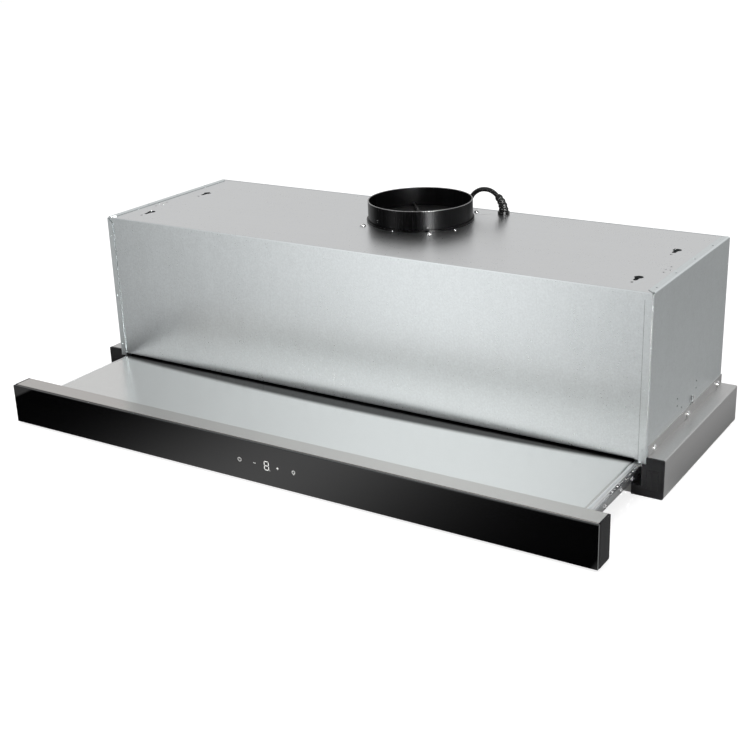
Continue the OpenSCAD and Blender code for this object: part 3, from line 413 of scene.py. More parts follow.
@dataclass(frozen=True)
class TraySheet(SheetSteel):
    """Thin tray sheet with painted shade at the casing's foot, for the shaded gap it mirrors
    there.
    """

    middle_x: float = -0.02
    half_x: float = 0.4
    reach: float = 0.0215
    narrowing: float = 0.017
    edge: tuple[float, float] = (-0.011, 0.001)
    painted_shade_tint: float = 0.03

    def marks(self, graph: Graph) -> Marks:
        """The painted shade strip at the casing's foot, widest at the middle.

        Args:
            graph: the material's tree.

        Returns:
            Each mark's share and factor.
        """
        x, y, _ = graph.parts(graph.object_point())
        side = (x - self.middle_x) / self.half_x
        # painted shade: the tray is darker towards the casing's foot, for the shaded gap under
        # the casing
        painted_shade = (y - FRONT_Y + self.reach - side * side * self.narrowing).step(*self.edge)
        return [(painted_shade, self.painted_shade_tint)]


@dataclass(frozen=True)
class VisorSheet(SheetSteel):
    """Brushed bar with a painted highlight along its rear edge and painted shade towards its
    front edge.
    """

    rear: float = -0.1666
    rear_highlight: float = 0.0007
    rear_highlight_tint: float = 1.45
    front: float = -0.1925
    fade: float = 0.005
    front_shade_tint: float = 0.35

    def marks(self, graph: Graph) -> Marks:
        """The painted highlight line along the rear edge and the painted shade strip at the front
        edge, behind the glass.

        Args:
            graph: the material's tree.

        Returns:
            Each mark's share and factor.
        """
        _, y, _ = graph.parts(graph.object_point())
        place = y - FRONT_Y
        # painted highlight: a bright line along the rear edge
        line = place.bell(self.rear, self.rear_highlight)
        # painted shade: darker towards the front edge
        painted_shade = place.step(self.front, self.front - self.fade)
        return [(line, self.rear_highlight_tint), (painted_shade, self.front_shade_tint)]


@dataclass(frozen=True)
class Plastic(Finish):
    """Moulded plastic or rubber with a fine grain."""

    colour: Colour = (0.02, 0.02, 0.022)
    roughness: float = 0.45
    grain: float = 1800.0
    grain_depth: float = 0.00003
    shine: float = 0.5

    def build(self, graph: Graph) -> None:
        """Varies the gloss by a fine grain and a slow change.

        Args:
            graph: the material's tree.
        """
        fine = graph.noise(self.grain)
        slow = graph.noise(30.0)
        graph.surface(
            Base_Color=graph.shades(slow, self.colour, 0.85, 1.15),
            Roughness=fine * 0.05 + slow * 0.05 + (self.roughness - 0.05),
            Specular=self.shine,
            Normal=graph.bump(fine, self.grain_depth, 0.4),
        )


@dataclass(frozen=True)
class Glass(Finish):
    """Black back-painted glass with a painted highlight on the arris along its sides."""

    colour: Colour = (0.0012, 0.0012, 0.0014)
    roughness: float = 0.035
    arris: float = 0.0011
    arris_highlight_colour: Colour = (0.28, 0.30, 0.30)

    def build(self, graph: Graph) -> None:
        """Gives a deep black faint smears in its gloss, and paints a pale highlight on its ends.

        Args:
            graph: the material's tree.
        """
        smear = graph.noise(14.0, (0.4, 1.0, 1.0), 3.0)
        _, y, _ = graph.parts(graph.object_point())
        across, _, _ = graph.parts(graph.node("ShaderNodeNewGeometry").outputs["True Normal"])
        # painted highlight: the arris along the sides is paler
        front = (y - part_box("glass_front")[0][1]).step(self.arris, 0.6 * self.arris)
        edge = front * abs(across).step(0.6, 0.8)
        black = graph.shades(smear, self.colour, 1.0, 1.6)
        graph.surface(
            Base_Color=graph.blend(edge, black, self.arris_highlight_colour),
            Roughness=smear * 0.012 + self.roughness,
            IOR=1.5,
        )


@dataclass(frozen=True)
class Metal(Finish):
    """Turned, cast or plated metal with fine scratches."""

    colour: Colour = (0.80, 0.80, 0.80)
    roughness: float = 0.22
    scratch: float = 0.06

    def build(self, graph: Graph) -> None:
        """Varies the gloss by scratches and slow stains.

        Args:
            graph: the material's tree.
        """
        scratch = graph.noise(1300.0, (1.0, 0.1, 1.0), 3.0, 0.7)
        stain = graph.noise(60.0)
        graph.surface(
            Base_Color=graph.shades(stain, self.colour, 0.92, 1.06),
            Metallic=1.0,
            Roughness=scratch * self.scratch + stain * 0.05 + (self.roughness - 0.05),
            Normal=graph.bump(scratch, 0.00001, 0.4),
        )


@dataclass(frozen=True)
class CollarLacquer(Finish):
    """Black lacquer on the rolled collar, with its seam and a painted highlight along its upper
    edge.
    """

    colour: Colour = (0.0035, 0.0035, 0.0038)
    roughness: float = 0.27
    shine: float = 0.13
    seam_deg: float = -45.8
    seam_width: float = 0.011
    streaks: float = 420.0
    rim_highlight: float = 0.0007
    rim_highlight_colour: Colour = (0.32, 0.32, 0.32)

    def build(self, graph: Graph) -> None:
        """Adds upright streaks, a gloss that changes at the seam and a painted highlight as a
        pale metallic band at the top.

        Args:
            graph: the material's tree.
        """
        x, y, z = graph.parts(graph.object_point())
        middle = middle_of("duct_collar")
        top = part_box("duct_collar")[1][2]
        angle = (y - middle.y).turn(x - middle.x)
        seam = math.radians(self.seam_deg)
        line = angle.bell(seam, self.seam_width)
        after = angle.step(seam - self.seam_width, seam + self.seam_width)
        streak = graph.noise(self.streaks, (1.0, 1.0, 0.03))
        # painted highlight: a pale metallic band along the upper edge
        rim_highlight = z.step(top - self.rim_highlight, top - 0.3 * self.rim_highlight)
        black = graph.shades(streak, self.colour, 0.6, 1.6)
        seamed = graph.blend(line, black, tint(self.colour, 0.1))
        graph.surface(
            Base_Color=graph.blend(rim_highlight, seamed, self.rim_highlight_colour),
            Metallic=rim_highlight * 0.8,
            Roughness=streak * 0.08 + after * 0.1 + (self.roughness - 0.05),
            Specular=self.shine,
            Normal=graph.bump(graph.noise(self.streaks) * 0.2 + after * 0.8, 0.0002, 0.3),
        )


@dataclass(frozen=True)
class Board(Finish):
    """Circuit board with copper paths under green lacquer."""

    colour: Colour = (0.01, 0.07, 0.03)

    def build(self, graph: Graph) -> None:
        """Draws the paths as cells stretched along the board and cut sharply."""
        path = graph.cells(260.0, (0.3, 1.0, 1.0)).step(0.55, 0.6)
        graph.surface(
            Base_Color=graph.shades(path, self.colour, 1.0, 2.2),
            Roughness=path * 0.1 + 0.3,
            Normal=graph.bump(path, 0.00004, 0.5),
        )


@dataclass(frozen=True)
class Lens(Finish):
    """Frosted lamp lens with fine prisms."""

    colour: Colour = (0.85, 0.84, 0.78)

    def build(self, graph: Graph) -> None:
        """Draws the prisms as a relief of cells."""
        prism = graph.cells(900.0)
        graph.surface(
            Base_Color=graph.shades(prism, self.colour, 0.9, 1.0),
            Roughness=prism * 0.1 + 0.28,
            Normal=graph.bump(prism, 0.0001, 0.5),
        )


@dataclass(frozen=True)
class Lit(Finish):
    """Print or segment behind the glass that glows faintly."""

    colour: Colour = (0.9, 0.9, 0.88)
    glow: float = 0.6

    def build(self, graph: Graph) -> None:
        """Adds an even glow with a soft grain."""
        grain = graph.noise(900.0)
        graph.surface(
            Base_Color=graph.shades(grain, self.colour, 0.9, 1.0),
            Emission_Color=graph.shades(grain, self.colour, 0.85, 1.0),
            Emission_Strength=self.glow,
            Roughness=0.4,
        )


ZINC = Metal("zinc_plated", (0.74, 0.75, 0.76))
SCREW_STEEL = Metal("screw_steel", (0.95, 0.95, 0.95), roughness=0.26)
BRASS = Metal("brass", (0.83, 0.68, 0.38))
CIRCUIT_BOARD = Board("circuit_board")
INNER_STEEL = SheetSteel("inner_steel", (0.66, 0.66, 0.65), Axis.X, roughness=0.32)
BLOWER_ZINC = SheetSteel(
    "blower_zinc", (0.72, 0.74, 0.75), roughness=0.36, lines=500.0, spangle=0.3
)
CORD_RUBBER = Plastic("cord_sheath", (0.010, 0.010, 0.010), roughness=0.42, grain=900.0)


# ---- Meshes ----


def new_piece(
    name: str, data: Any, finish: Finish, body: Body, replaced: Iterable[str] = ()
) -> bpy.types.Object:
    """Puts a finished mesh or curve in the scene and ties it to its body.

    Args:
        name: the piece's name.
        data: its mesh or curve, in place.
        finish: its finish.
        body: the body that carries it.
        replaced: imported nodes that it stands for.

    Returns:
        The new object.
    """
    if not data.materials:
        data.materials.append(finish.material())
    made = placed(name, data)
    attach(made, body.value)
    if replaced:
        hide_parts(*replaced)
    log.info("%s rides on the %s", name, body.value)
    return made


def mesh_of(name: str, build: Callable[[Shape], None], smooth: bool = True) -> Mesh:
    """Makes a mesh by a function that fills a BMesh.

    Args:
        name: the mesh's name.
        build: adds the vertices and faces.
        smooth: whether its faces are shaded smooth.

    Returns:
        The mesh.
    """
    shape = bmesh.new()
    build(shape)
    for face in shape.faces:
        face.smooth = smooth
    mesh = bpy.data.meshes.new(name)
    shape.to_mesh(mesh)
    shape.free()
    return mesh


def turned(shape: Shape, outline: Line, count: int) -> None:
    """Turns an outline about z into a closed solid.

    Args:
        shape: the mesh to add to.
        outline: radii and heights in millimetres, from the lower middle to the upper one.
        count: parts of the circle.
    """
    for i in range(count):
        a, b = (2 * math.pi * k / count for k in (i, i + 1))
        for (r, z), (s, w) in zip(outline, outline[1:]):
            corners = [(r, a, z), (r, b, z), (s, b, w), (s, a, w)]
            if r == 0:
                corners.pop(1)
            elif s == 0:
                corners.pop()
            places = [(q * math.cos(t) * MM, q * math.sin(t) * MM, h * MM) for q, t, h in corners]
            shape.faces.new([shape.verts.new(place) for place in places])
    bmesh.ops.remove_doubles(shape, verts=shape.verts, dist=1e-7)


def shaped_mesh(made: bpy.types.Object) -> Mesh:
    """Plain mesh of an object with its modifiers worked out; the object is removed.

    Args:
        made: the object.

    Returns:
        The mesh.
    """
    ready = made.evaluated_get(bpy.context.evaluated_depsgraph_get())
    mesh = bpy.data.meshes.new_from_object(ready)
    bpy.data.objects.remove(made, do_unlink=True)
    return mesh


def placed(name: str, data: Any) -> bpy.types.Object:
    """Puts an object in the scene.

    Args:
        name: the object's name.
        data: what it carries: a mesh, a curve, a lamp or a camera.

    Returns:
        The new object.
    """
    made = bpy.data.objects.new(name, data)
    bpy.context.scene.collection.objects.link(made)
    return made


def solids_of(name: str) -> list[list[Vector]]:
    """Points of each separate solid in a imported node.

    Args:
        name: the node.

    Returns:
        One list of points for each solid.
    """
    shape = bmesh.new()
    shape.from_mesh(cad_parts[name].data)
    bmesh.ops.remove_doubles(shape, verts=shape.verts, dist=1e-6)
    left = dict.fromkeys(shape.verts)  # a set's order would change from run to run
    found = []
    while left:
        stack = [left.popitem()[0]]
        points = []
        while stack:
            vertex = stack.pop()
            points.append(vertex.co.copy())
            for edge in vertex.link_edges:
                near = edge.other_vert(vertex)
                if near in left:
                    del left[near]
                    stack.append(near)
        found.append(points)
    shape.free()
    return found


Spots = list[tuple[Vector, Vector]]  # where a part stands, and the direction of its z axis


class PartRows:
    """Geometry Nodes tree that sets one small part on every point of a mesh.

    Its named inputs are the part, its size, how far it may be spun, the seed and the finish.
    """

    INPUTS = {
        "Points": "Geometry", "Part": "Object", "Finish": "Material",
        "Size": "Float", "Spin": "Vector", "Seed": "Int",
    }

    def __init__(self) -> None:
        """Builds the tree once."""
        self.tree = bpy.data.node_groups.new("rows_of_parts", "GeometryNodeTree")
        self.inputs = {name: self._socket(name, kind) for name, kind in self.INPUTS.items()}
        self._socket("Parts", "Geometry", "OUTPUT")
        graph = Graph(self.tree)
        given = graph.node("NodeGroupInput").outputs
        part = graph.node("GeometryNodeObjectInfo", {"Object": given["Part"]})
        vector = {"data_type": "FLOAT_VECTOR"}
        facing = graph.node("GeometryNodeInputNamedAttribute", {"Name": "facing"}, **vector)
        aim = {"Vector": facing.outputs[0]}
        aimed = graph.node("FunctionNodeAlignRotationToVector", aim, axis="Z")
        most = {1: given["Spin"], "Seed": given["Seed"]}
        spun = graph.node("FunctionNodeRandomValue", most, **vector)
        spin = graph.node("FunctionNodeEulerToRotation", {0: spun.outputs[0]})
        both = {0: aimed.outputs[0], 1: spin.outputs[0]}
        turn = graph.node("FunctionNodeRotateRotation", both, rotation_space="LOCAL")
        row = {
            "Points": given["Points"],
            "Instance": part.outputs["Geometry"],
            "Rotation": turn.outputs[0],
            "Scale": given["Size"],
        }
        rows = graph.node("GeometryNodeInstanceOnPoints", row)
        real = graph.node("GeometryNodeRealizeInstances", {"Geometry": rows.outputs[0]})
        wear = {"Geometry": real.outputs[0], "Material": given["Finish"]}
        dressed = graph.node("GeometryNodeSetMaterial", wear)
        graph.node("NodeGroupOutput", {0: dressed.outputs[0]})

    def _socket(self, name: str, kind: str, way: str = "INPUT") -> str:
        """Adds a socket to the tree's outside and returns its identifier."""
        outside = self.tree.interface
        return outside.new_socket(name, in_out=way, socket_type=f"NodeSocket{kind}").identifier

    def build(
        self, name: str, part: Mesh, spots: Spots, finish: Finish, **values: Any
    ) -> Mesh:
        """Sets the part on every spot.

        Args:
            name: the mesh's name.
            part: the part, standing on the plane z = 0.
            spots: where the parts stand.
            finish: the parts' finish.
            values: the tree's other inputs by name.

        Returns:
            One plain mesh of all the parts.
        """
        points = bpy.data.meshes.new(name)
        points.from_pydata([tuple(place) for place, _ in spots], [], [])
        facing = points.attributes.new("facing", "FLOAT_VECTOR", "POINT")
        for item, (_, direction) in zip(facing.data, spots):
            item.vector = direction
        master = placed(f"{name}_master", part)
        carrier = placed(f"{name}_points", points)
        rows = carrier.modifiers.new("rows", "NODES")
        rows.node_group = self.tree
        given = {"Part": master, "Size": 1.0, "Spin": (0.0, 0.0, 0.0), "Seed": 7}
        for title, value in {**given, "Finish": finish.material(), **values}.items():
            rows[self.inputs[title]] = value
        mesh = shaped_mesh(carrier)
        bpy.data.objects.remove(master, do_unlink=True)
        return mesh


# ---- Camera, light and floor ----


@dataclass(frozen=True)
class Studio:
    """White studio with one soft window, and the camera of the photograph.

    A level is a brightness, of which 1 is white. A glow is its level, middle and spread, in
    degrees to the left of straight ahead, or in metres for what the floor mirrors. Beside
    the object the floor has a level, its rise to the sides and its fall to the rear.
    """

    focal_px: float = 1297.98
    image_px: float = 750.0
    sensor_mm: float = 36.0
    camera_mm: Point = (925.74, -1378.18, 722.30)
    right: Point = (0.84709, 0.53048, -0.03199)
    up: Point = (-0.16547, 0.32049, 0.93269)
    key_at: Point = (-0.3, -0.4, 2.6)
    key_aim: Point = (0.0, 0.0, 0.15)
    key_size: tuple[float, float] = (2.4, 1.8)
    key_watts: float = 30.0
    room_level: float = 0.62
    wall_level: float = 0.05
    rear_level: float = 0.68
    window_glow: Point = (1.65, 29.5, 8.4)
    strip_glow: Point = (110.0, -49.5, 3.6)
    strip_top: tuple[float, float] = (0.4, 0.15)
    floor_half: float = 6.0
    floor_z: float = -0.0004
    floor_level: float = 0.78
    floor_greys: tuple[float, float] = (0.8, 0.45)
    wedge_level: float = 0.83
    wedge_base: float = 0.24
    glass_glow: Point = (1.2, -0.02, 0.135)
    glass_middle: float = -0.045
    glass_side: tuple[float, float] = (0.48, 0.49)
    glass_end: tuple[float, float] = (-0.305, -0.325)
    beside: Point = (0.25, 0.15, 0.05)

    def camera(self) -> None:
        """Sets the camera where the photograph was taken from."""
        data = bpy.data.cameras.new("camera")
        data.sensor_width = self.sensor_mm
        data.lens = self.focal_px / self.image_px * self.sensor_mm
        data.clip_end = 50.0
        right = Vector(self.right).normalized()
        back = right.cross(Vector(self.up)).normalized()
        turn = Matrix((right, back.cross(right), back)).transposed().to_4x4()
        made = placed("camera", data)
        made.matrix_world = Matrix.Translation(at(*self.camera_mm)) @ turn
        bpy.context.scene.camera = made

    def key(self) -> None:
        """Adds the soft key lamp, which only lights: neither the camera nor gloss sees it."""
        data = bpy.data.lights.new("key", "AREA")
        data.shape = "RECTANGLE"
        data.size, data.size_y = self.key_size
        data.energy = self.key_watts
        made = placed("key", data)
        made.location = self.key_at
        aim = Vector(self.key_aim) - Vector(self.key_at)
        made.rotation_euler = aim.to_track_quat("-Z", "Y").to_euler()
        made.visible_camera = False
        made.visible_glossy = False

    def shine(self, angle: Value, glow: Point) -> Value:
        """Brightness of a glow of the wall at an azimuth in radians."""
        level, middle, spread = glow
        return angle.bell(math.radians(middle), math.radians(spread)) * level

    def world(self) -> None:
        """Makes the world white for the camera, the window's wall for gloss, and plain else."""
        world = bpy.data.worlds.new("studio")
        world.use_nodes = True
        graph = Graph(world.node_tree)
        x, y, z = graph.parts(graph.node("ShaderNodeTexCoord").outputs["Generated"])
        path = graph.node("ShaderNodeLightPath")
        seen = Value(graph, path.outputs["Is Camera Ray"])
        gloss = Value(graph, path.outputs["Is Glossy Ray"])
        angle = (-x).turn(-y)
        strip = self.shine(angle, self.strip_glow) * z.step(*self.strip_top)
        ahead = self.shine(angle, self.window_glow) + self.wall_level + strip
        wall = ahead.toward(self.rear_level, y.step(-0.1, 0.1))
        strength = Value(graph, self.room_level).toward(wall, gloss).toward(1.0, seen)
        white = {"Strength": strength, "Color": (1.0, 1.0, 1.0, 1.0)}
        shade = graph.node("ShaderNodeBackground", white)
        graph.node("ShaderNodeOutputWorld", {"Surface": shade.outputs[0]})
        bpy.context.scene.world = world

    def mirrored(self, x: Value, y: Value) -> Value:
        """What the floor shows to gloss: the window's wedge, a strip for the glass, the sides.

        Args:
            x: where on the floor, across.
            y: where on the floor, along.

        Returns:
            The level there.
        """
        mirror = at(self.camera_mm[0], -self.camera_mm[1], 0.0)
        turn = (mirror.x - x).turn(mirror.y - y)
        wedge = self.shine(turn, (self.wedge_level, *self.window_glow[1:])) + self.wedge_base
        place = y - FRONT_Y
        level, middle, spread = self.glass_glow
        near = x.bell(middle, spread) * level
        outside = abs(x - self.glass_middle).step(*self.glass_side)
        front = near.toward(wedge, outside.larger(place.step(*self.glass_end)))
        level, rise, fall = self.beside
        beside = abs(x).step(0.45, 0.5) * (rise - place.step(0.3, 0.9) * fall) + level
        return front.toward(beside, place.step(-0.12, 0.1))

    def floor(self) -> None:
        """Adds the pale floor, which keeps a faint shadow and shows gloss a soft window."""
        half = self.floor_half
        corners = [(-half, -half), (half, -half), (half, half), (-half, half)]
        mesh = bpy.data.meshes.new("floor")
        mesh.from_pydata([(x, y, self.floor_z) for x, y in corners], [], [(0, 1, 2, 3)])
        material = bpy.data.materials.new("floor")
        material.use_nodes = True
        graph = Graph(material.node_tree)
        x, y, _ = graph.parts(graph.object_point())
        path = graph.node("ShaderNodeLightPath").outputs
        matt, shadow = (
            graph.node("ShaderNodeBsdfDiffuse", {"Color": (grey, grey, grey, 1.0)})
            for grey in self.floor_greys
        )
        gloss = graph.node("ShaderNodeEmission", {"Strength": self.mirrored(x, y)})
        white = graph.node("ShaderNodeEmission", {"Strength": self.floor_level})
        seen = graph.node("ShaderNodeAddShader", {0: white.outputs[0], 1: shadow.outputs[0]})
        unseen = graph.switch(path["Is Glossy Ray"], matt, gloss)
        shown = graph.switch(path["Is Camera Ray"], unseen, seen)
        graph.node("ShaderNodeOutputMaterial", {"Surface": shown.outputs[0]})
        mesh.materials.append(material)
        placed("floor", mesh)

    def build(self) -> None:
        """Sets up camera, world, floor and lamp."""
        self.camera()
        self.world()
        self.floor()
        self.key()
        bpy.context.scene.view_settings.view_transform = "Standard"


# ---- Casing and its inside ----


@dataclass(frozen=True)
class Casing:
    """Galvanised box with laps folded over its front and its top."""

    front: LappedSheet = LappedSheet(
        "zinc_front", (0.77, 0.81, 0.82), roughness=0.3, grain=0.17, lines=900.0, spangle=0.1
    )
    top: LappedSheet = LappedSheet(
        "zinc_top", (0.79, 0.80, 0.806), Axis.X, roughness=0.3, grain=0.07, spangle=0.1,
        face=Face.TOP,
    )
    side: LappedSheet = LappedSheet(
        "zinc_side", (0.785, 0.83, 0.837), roughness=0.31, grain=0.12, lines=500.0,
        spangle=0.15, face=Face.SIDE,
    )
    rear: SheetSteel = SheetSteel(
        "zinc_rear", (0.77, 0.81, 0.82), roughness=0.36, lines=900.0, spangle=0.1
    )

    def build(self) -> None:
        """Dresses the panels."""
        self.front.wear("front_panel")
        self.top.wear("top_panel")
        self.side.wear("left_side_panel", "right_side_panel")
        self.rear.wear("rear_panel")
        INNER_STEEL.wear("base_pan", "control_box", "control_box_lid")
        CIRCUIT_BOARD.wear("power_board")


@dataclass(frozen=True)
class SideFrames:
    """Brushed frames under the casing, with end caps and hooks."""

    steel: SheetSteel = SheetSteel(
        "brushed_frame", (0.62, 0.618, 0.615), Axis.Y, roughness=0.33, lines=1100.0
    )
    cap: Plastic = Plastic("frame_cap", (0.013, 0.013, 0.014), roughness=0.5, shine=0.35)

    def build(self) -> None:
        """Dresses the frames, their caps and hooks."""
        self.steel.wear("left_side_frame", "right_side_frame")
        self.cap.wear("left_frame_cap", "right_frame_cap")
        SCREW_STEEL.wear("hook_clips")


@dataclass(frozen=True)
class Slides:
    """Telescopic slides: rails, runners, cages and balls."""

    rail: Metal = Metal("slide_zinc", (0.93, 0.94, 0.95), roughness=0.34, scratch=0.08)
    ball: Metal = Metal("ball_steel", (0.55, 0.55, 0.55), roughness=0.32)

    def build(self) -> None:
        """Dresses both slides."""
        for side in ("left", "right"):
            self.rail.wear(f"{side}_slide_rail", f"{side}_runner")
            ZINC.wear(f"{side}_ball_cage")
            self.ball.wear(f"{side}_slide_balls")


@dataclass(frozen=True)
class Drawer:
    """Tray plate with its visor bar."""

    plate: TraySheet = TraySheet(
        "tray_sheet", (0.84, 0.842, 0.832), Axis.X, roughness=0.23, grain=0.08, lines=900.0,
        spangle=0.05,
    )
    visor: VisorSheet = VisorSheet(
        "brushed_visor", (0.61, 0.588, 0.568), Axis.X, roughness=0.22, grain=0.07, lines=1100.0
    )
    cap: Plastic = Plastic("visor_cap", (0.012, 0.012, 0.013), roughness=0.42, shine=0.1)

    def build(self) -> None:
        """Dresses the drawer's sheets and caps."""
        self.plate.wear("tray_plate")
        self.visor.wear("visor_bar")
        self.cap.wear("left_visor_cap", "right_visor_cap")
        INNER_STEEL.wear("tray_base")


@dataclass(frozen=True)
class DuctCollar:
    """Round collar with damper flaps on a rod, and small studs round its foot."""

    lacquer: CollarLacquer = CollarLacquer("collar_lacquer")
    flap: Plastic = Plastic("flap_black", (0.004, 0.004, 0.004), roughness=0.5)
    rod: Metal = Metal("dark_rod", (0.05, 0.05, 0.05), roughness=0.35)
    radius: float = 75.0
    stud_r: float = 1.1
    stud_h: float = 1.5
    stud_foot: float = 0.4
    studs: Sequence[tuple[float, float]] = ((-149.6, 1.6), (-90.4, 1.6), (-25.3, 10.0))

    def stud(self, shape: Shape) -> None:
        """Adds one domed stud on the plane z = 0.

        Args:
            shape: the mesh to add to.
        """
        arc = [math.radians(15 * k) for k in range(6)]
        dome = [(self.stud_r * math.cos(a), self.stud_h * math.sin(a)) for a in arc]
        foot = [(0, -self.stud_foot), (self.stud_r, -self.stud_foot)]
        turned(shape, [*foot, *dome, (0, self.stud_h)], 20)

    def build(self, rows: PartRows) -> None:
        """Dresses the collar and sets its studs, each by its azimuth and distance.

        Args:
            rows: the tree that sets them.
        """
        self.lacquer.wear("duct_collar")
        self.flap.wear("left_flap", "right_flap")
        self.rod.wear("flap_rod")
        middle = middle_of("duct_collar")
        middle.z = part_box("top_panel")[1][2]
        spots = []
        for azimuth, out in self.studs:
            turn = Matrix.Rotation(math.radians(azimuth), 3, "Z")
            place = middle + turn @ Vector(((self.radius + out) * MM, 0.0, 0.0))
            spots.append((place, Vector(Axis.Z.value)))
        mesh = rows.build("collar_studs", mesh_of("stud", self.stud), spots, ZINC)
        new_piece("collar_studs", mesh, ZINC, Body.HOUSING)


@dataclass(frozen=True)
class Blower:
    """Motor with its impeller in a scroll housing."""

    wheel: Plastic = Plastic("impeller_black", (0.035, 0.035, 0.038), roughness=0.5)
    paint: Plastic = Plastic("motor_black", (0.03, 0.033, 0.036), roughness=0.4)
    shell: Plastic = Plastic("capacitor_white", (0.72, 0.72, 0.69), roughness=0.4)

    def build(self) -> None:
        """Dresses the blower."""
        BLOWER_ZINC.wear("blower_scroll", "motor_bracket")
        self.wheel.wear("impeller")
        self.paint.wear("motor")
        self.shell.wear("capacitor")
        SCREW_STEEL.wear("motor_shaft")


@dataclass(frozen=True)
class Underside:
    """Grease filters with their latches, and the lamps."""

    filters: Metal = Metal("filter_metal", (0.78, 0.79, 0.80), roughness=0.32)
    latch: Plastic = Plastic("latch_black", (0.03, 0.03, 0.03), roughness=0.5)
    ring: Metal = Metal("ring_metal", (0.80, 0.80, 0.81), roughness=0.25)
    lens: Lens = Lens("frosted_lens")

    def build(self) -> None:
        """Dresses the filters, latches and lamps."""
        for side in ("left", "right"):
            self.filters.wear(f"{side}_filter", f"{side}_tray_filter")
            self.latch.wear(f"{side}_filter_latch", f"{side}_tray_latch")
        self.ring.wear("lamps")
        self.lens.wear("lamp_lenses")


# ---- Screws ----


@dataclass(frozen=True)
class Screws:
    """Pan-head screws with a cross recess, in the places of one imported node's screws."""

    node: str
    body: Body
    axis: Axis
    head_r: float = 4.2
    head_h: float = 2.6
    shank_r: float = 1.9
    seed: int = 3

    def outline(self, length: float) -> Line:
        """Outline of the shank and the head.

        Args:
            length: the shank's length in millimetres.

        Returns:
            Radii and heights, from the shank's end to the head's top.
        """
        arc = [math.radians(12 + 13 * k) for k in range(6)]
        dome = [(math.cos(a), 0.2 + 0.8 * math.sin(a)) for a in arc]
        head = [(0.95, 0), (1, 0.15), *dome, (0, 1)]
        shank = [(0, -length), (self.shank_r - 0.4, -length), (self.shank_r, 0.4 - length)]
        return [*shank, (self.shank_r, 0), *((self.head_r * r, self.head_h * z) for r, z in head)]

    def cross(self, shape: Shape) -> None:
        """Adds the two crossed wedges that cut the recess.

        Args:
            shape: the mesh to add to.
        """
        long, wide, deep = 0.55 * self.head_r, 0.13 * self.head_r, 0.55 * self.head_h
        for x, y in ((long, wide), (wide, long)):
            rows = []
            for size, z in ((0.45, self.head_h - deep), (1.15, self.head_h + 0.2)):
                u, v = x * size * MM, y * size * MM
                corners = [(-u, -v), (u, -v), (u, v), (-u, v)]
                rows.append([shape.verts.new((*corner, z * MM)) for corner in corners])
            low, high = rows
            shape.faces.new(low[::-1])
            shape.faces.new(high)
            for i in range(4):
                k = (i + 1) % 4
                shape.faces.new((low[i], low[k], high[k], high[i]))

    def screw(self, length: float) -> Mesh:
        """One screw, with its head's seat on the plane z = 0.

        Args:
            length: the shank's length in millimetres.

        Returns:
            The mesh.
        """
        outline = self.outline(length)
        blank = placed("screw", mesh_of("screw", lambda shape: turned(shape, outline, 32)))
        cutter = placed("cross", mesh_of("cross", self.cross, smooth=False))
        cut = blank.modifiers.new("cross", "BOOLEAN")
        cut.operation = "DIFFERENCE"
        cut.solver = "EXACT"
        cut.use_self = True
        cut.object = cutter
        mesh = shaped_mesh(blank)
        bpy.data.objects.remove(cutter, do_unlink=True)
        for polygon in mesh.polygons:
            polygon.use_smooth = True
        mesh.set_sharp_from_angle(angle=math.radians(28))
        return mesh

    def build(self, rows: PartRows) -> None:
        """Sets a screw where each packed one is.

        Args:
            rows: the tree that sets them.
        """
        spots, lengths = [], []
        for points in solids_of(self.node):
            low, high = (Vector([end(part) for part in zip(*points)]) for end in (min, max))
            middle = (low + high) / 2
            outward = -1.0 if self.axis is Axis.X and middle.x < 0 else 1.0
            facing = Vector(self.axis.value) * outward
            span = abs((high - low).dot(facing))
            spots.append((middle + facing * (span / 2 - self.head_h * MM), facing))
            lengths.append(span / MM - self.head_h)
        name = f"cross_{self.node}"
        part = self.screw(max(lengths))
        spin = {"Spin": (0.0, 0.0, 2 * math.pi), "Seed": self.seed}
        mesh = rows.build(name, part, spots, SCREW_STEEL, **spin)
        new_piece(name, mesh, SCREW_STEEL, self.body, (self.node,))


# ---- Cord ----


def smooth_path(points: list[Vector], steps: int) -> list[Vector]:
    """Smooth line through points.

    Args:
        points: the points that it passes.
        steps: parts between one point and the next.

    Returns:
        The points of the line.
    """
    path = []
    for a, b, c, d in zip([points[0], *points], points, points[1:], [*points[2:], points[-1]]):
        for t in (k / steps for k in range(steps)):
            bend = (2 * a - 5 * b + 4 * c - d) * t**2 + (3 * b - a - 3 * c + d) * t**3
            path.append(0.5 * (2 * b + (c - a) * t + bend))
    return [*path, points[-1]]


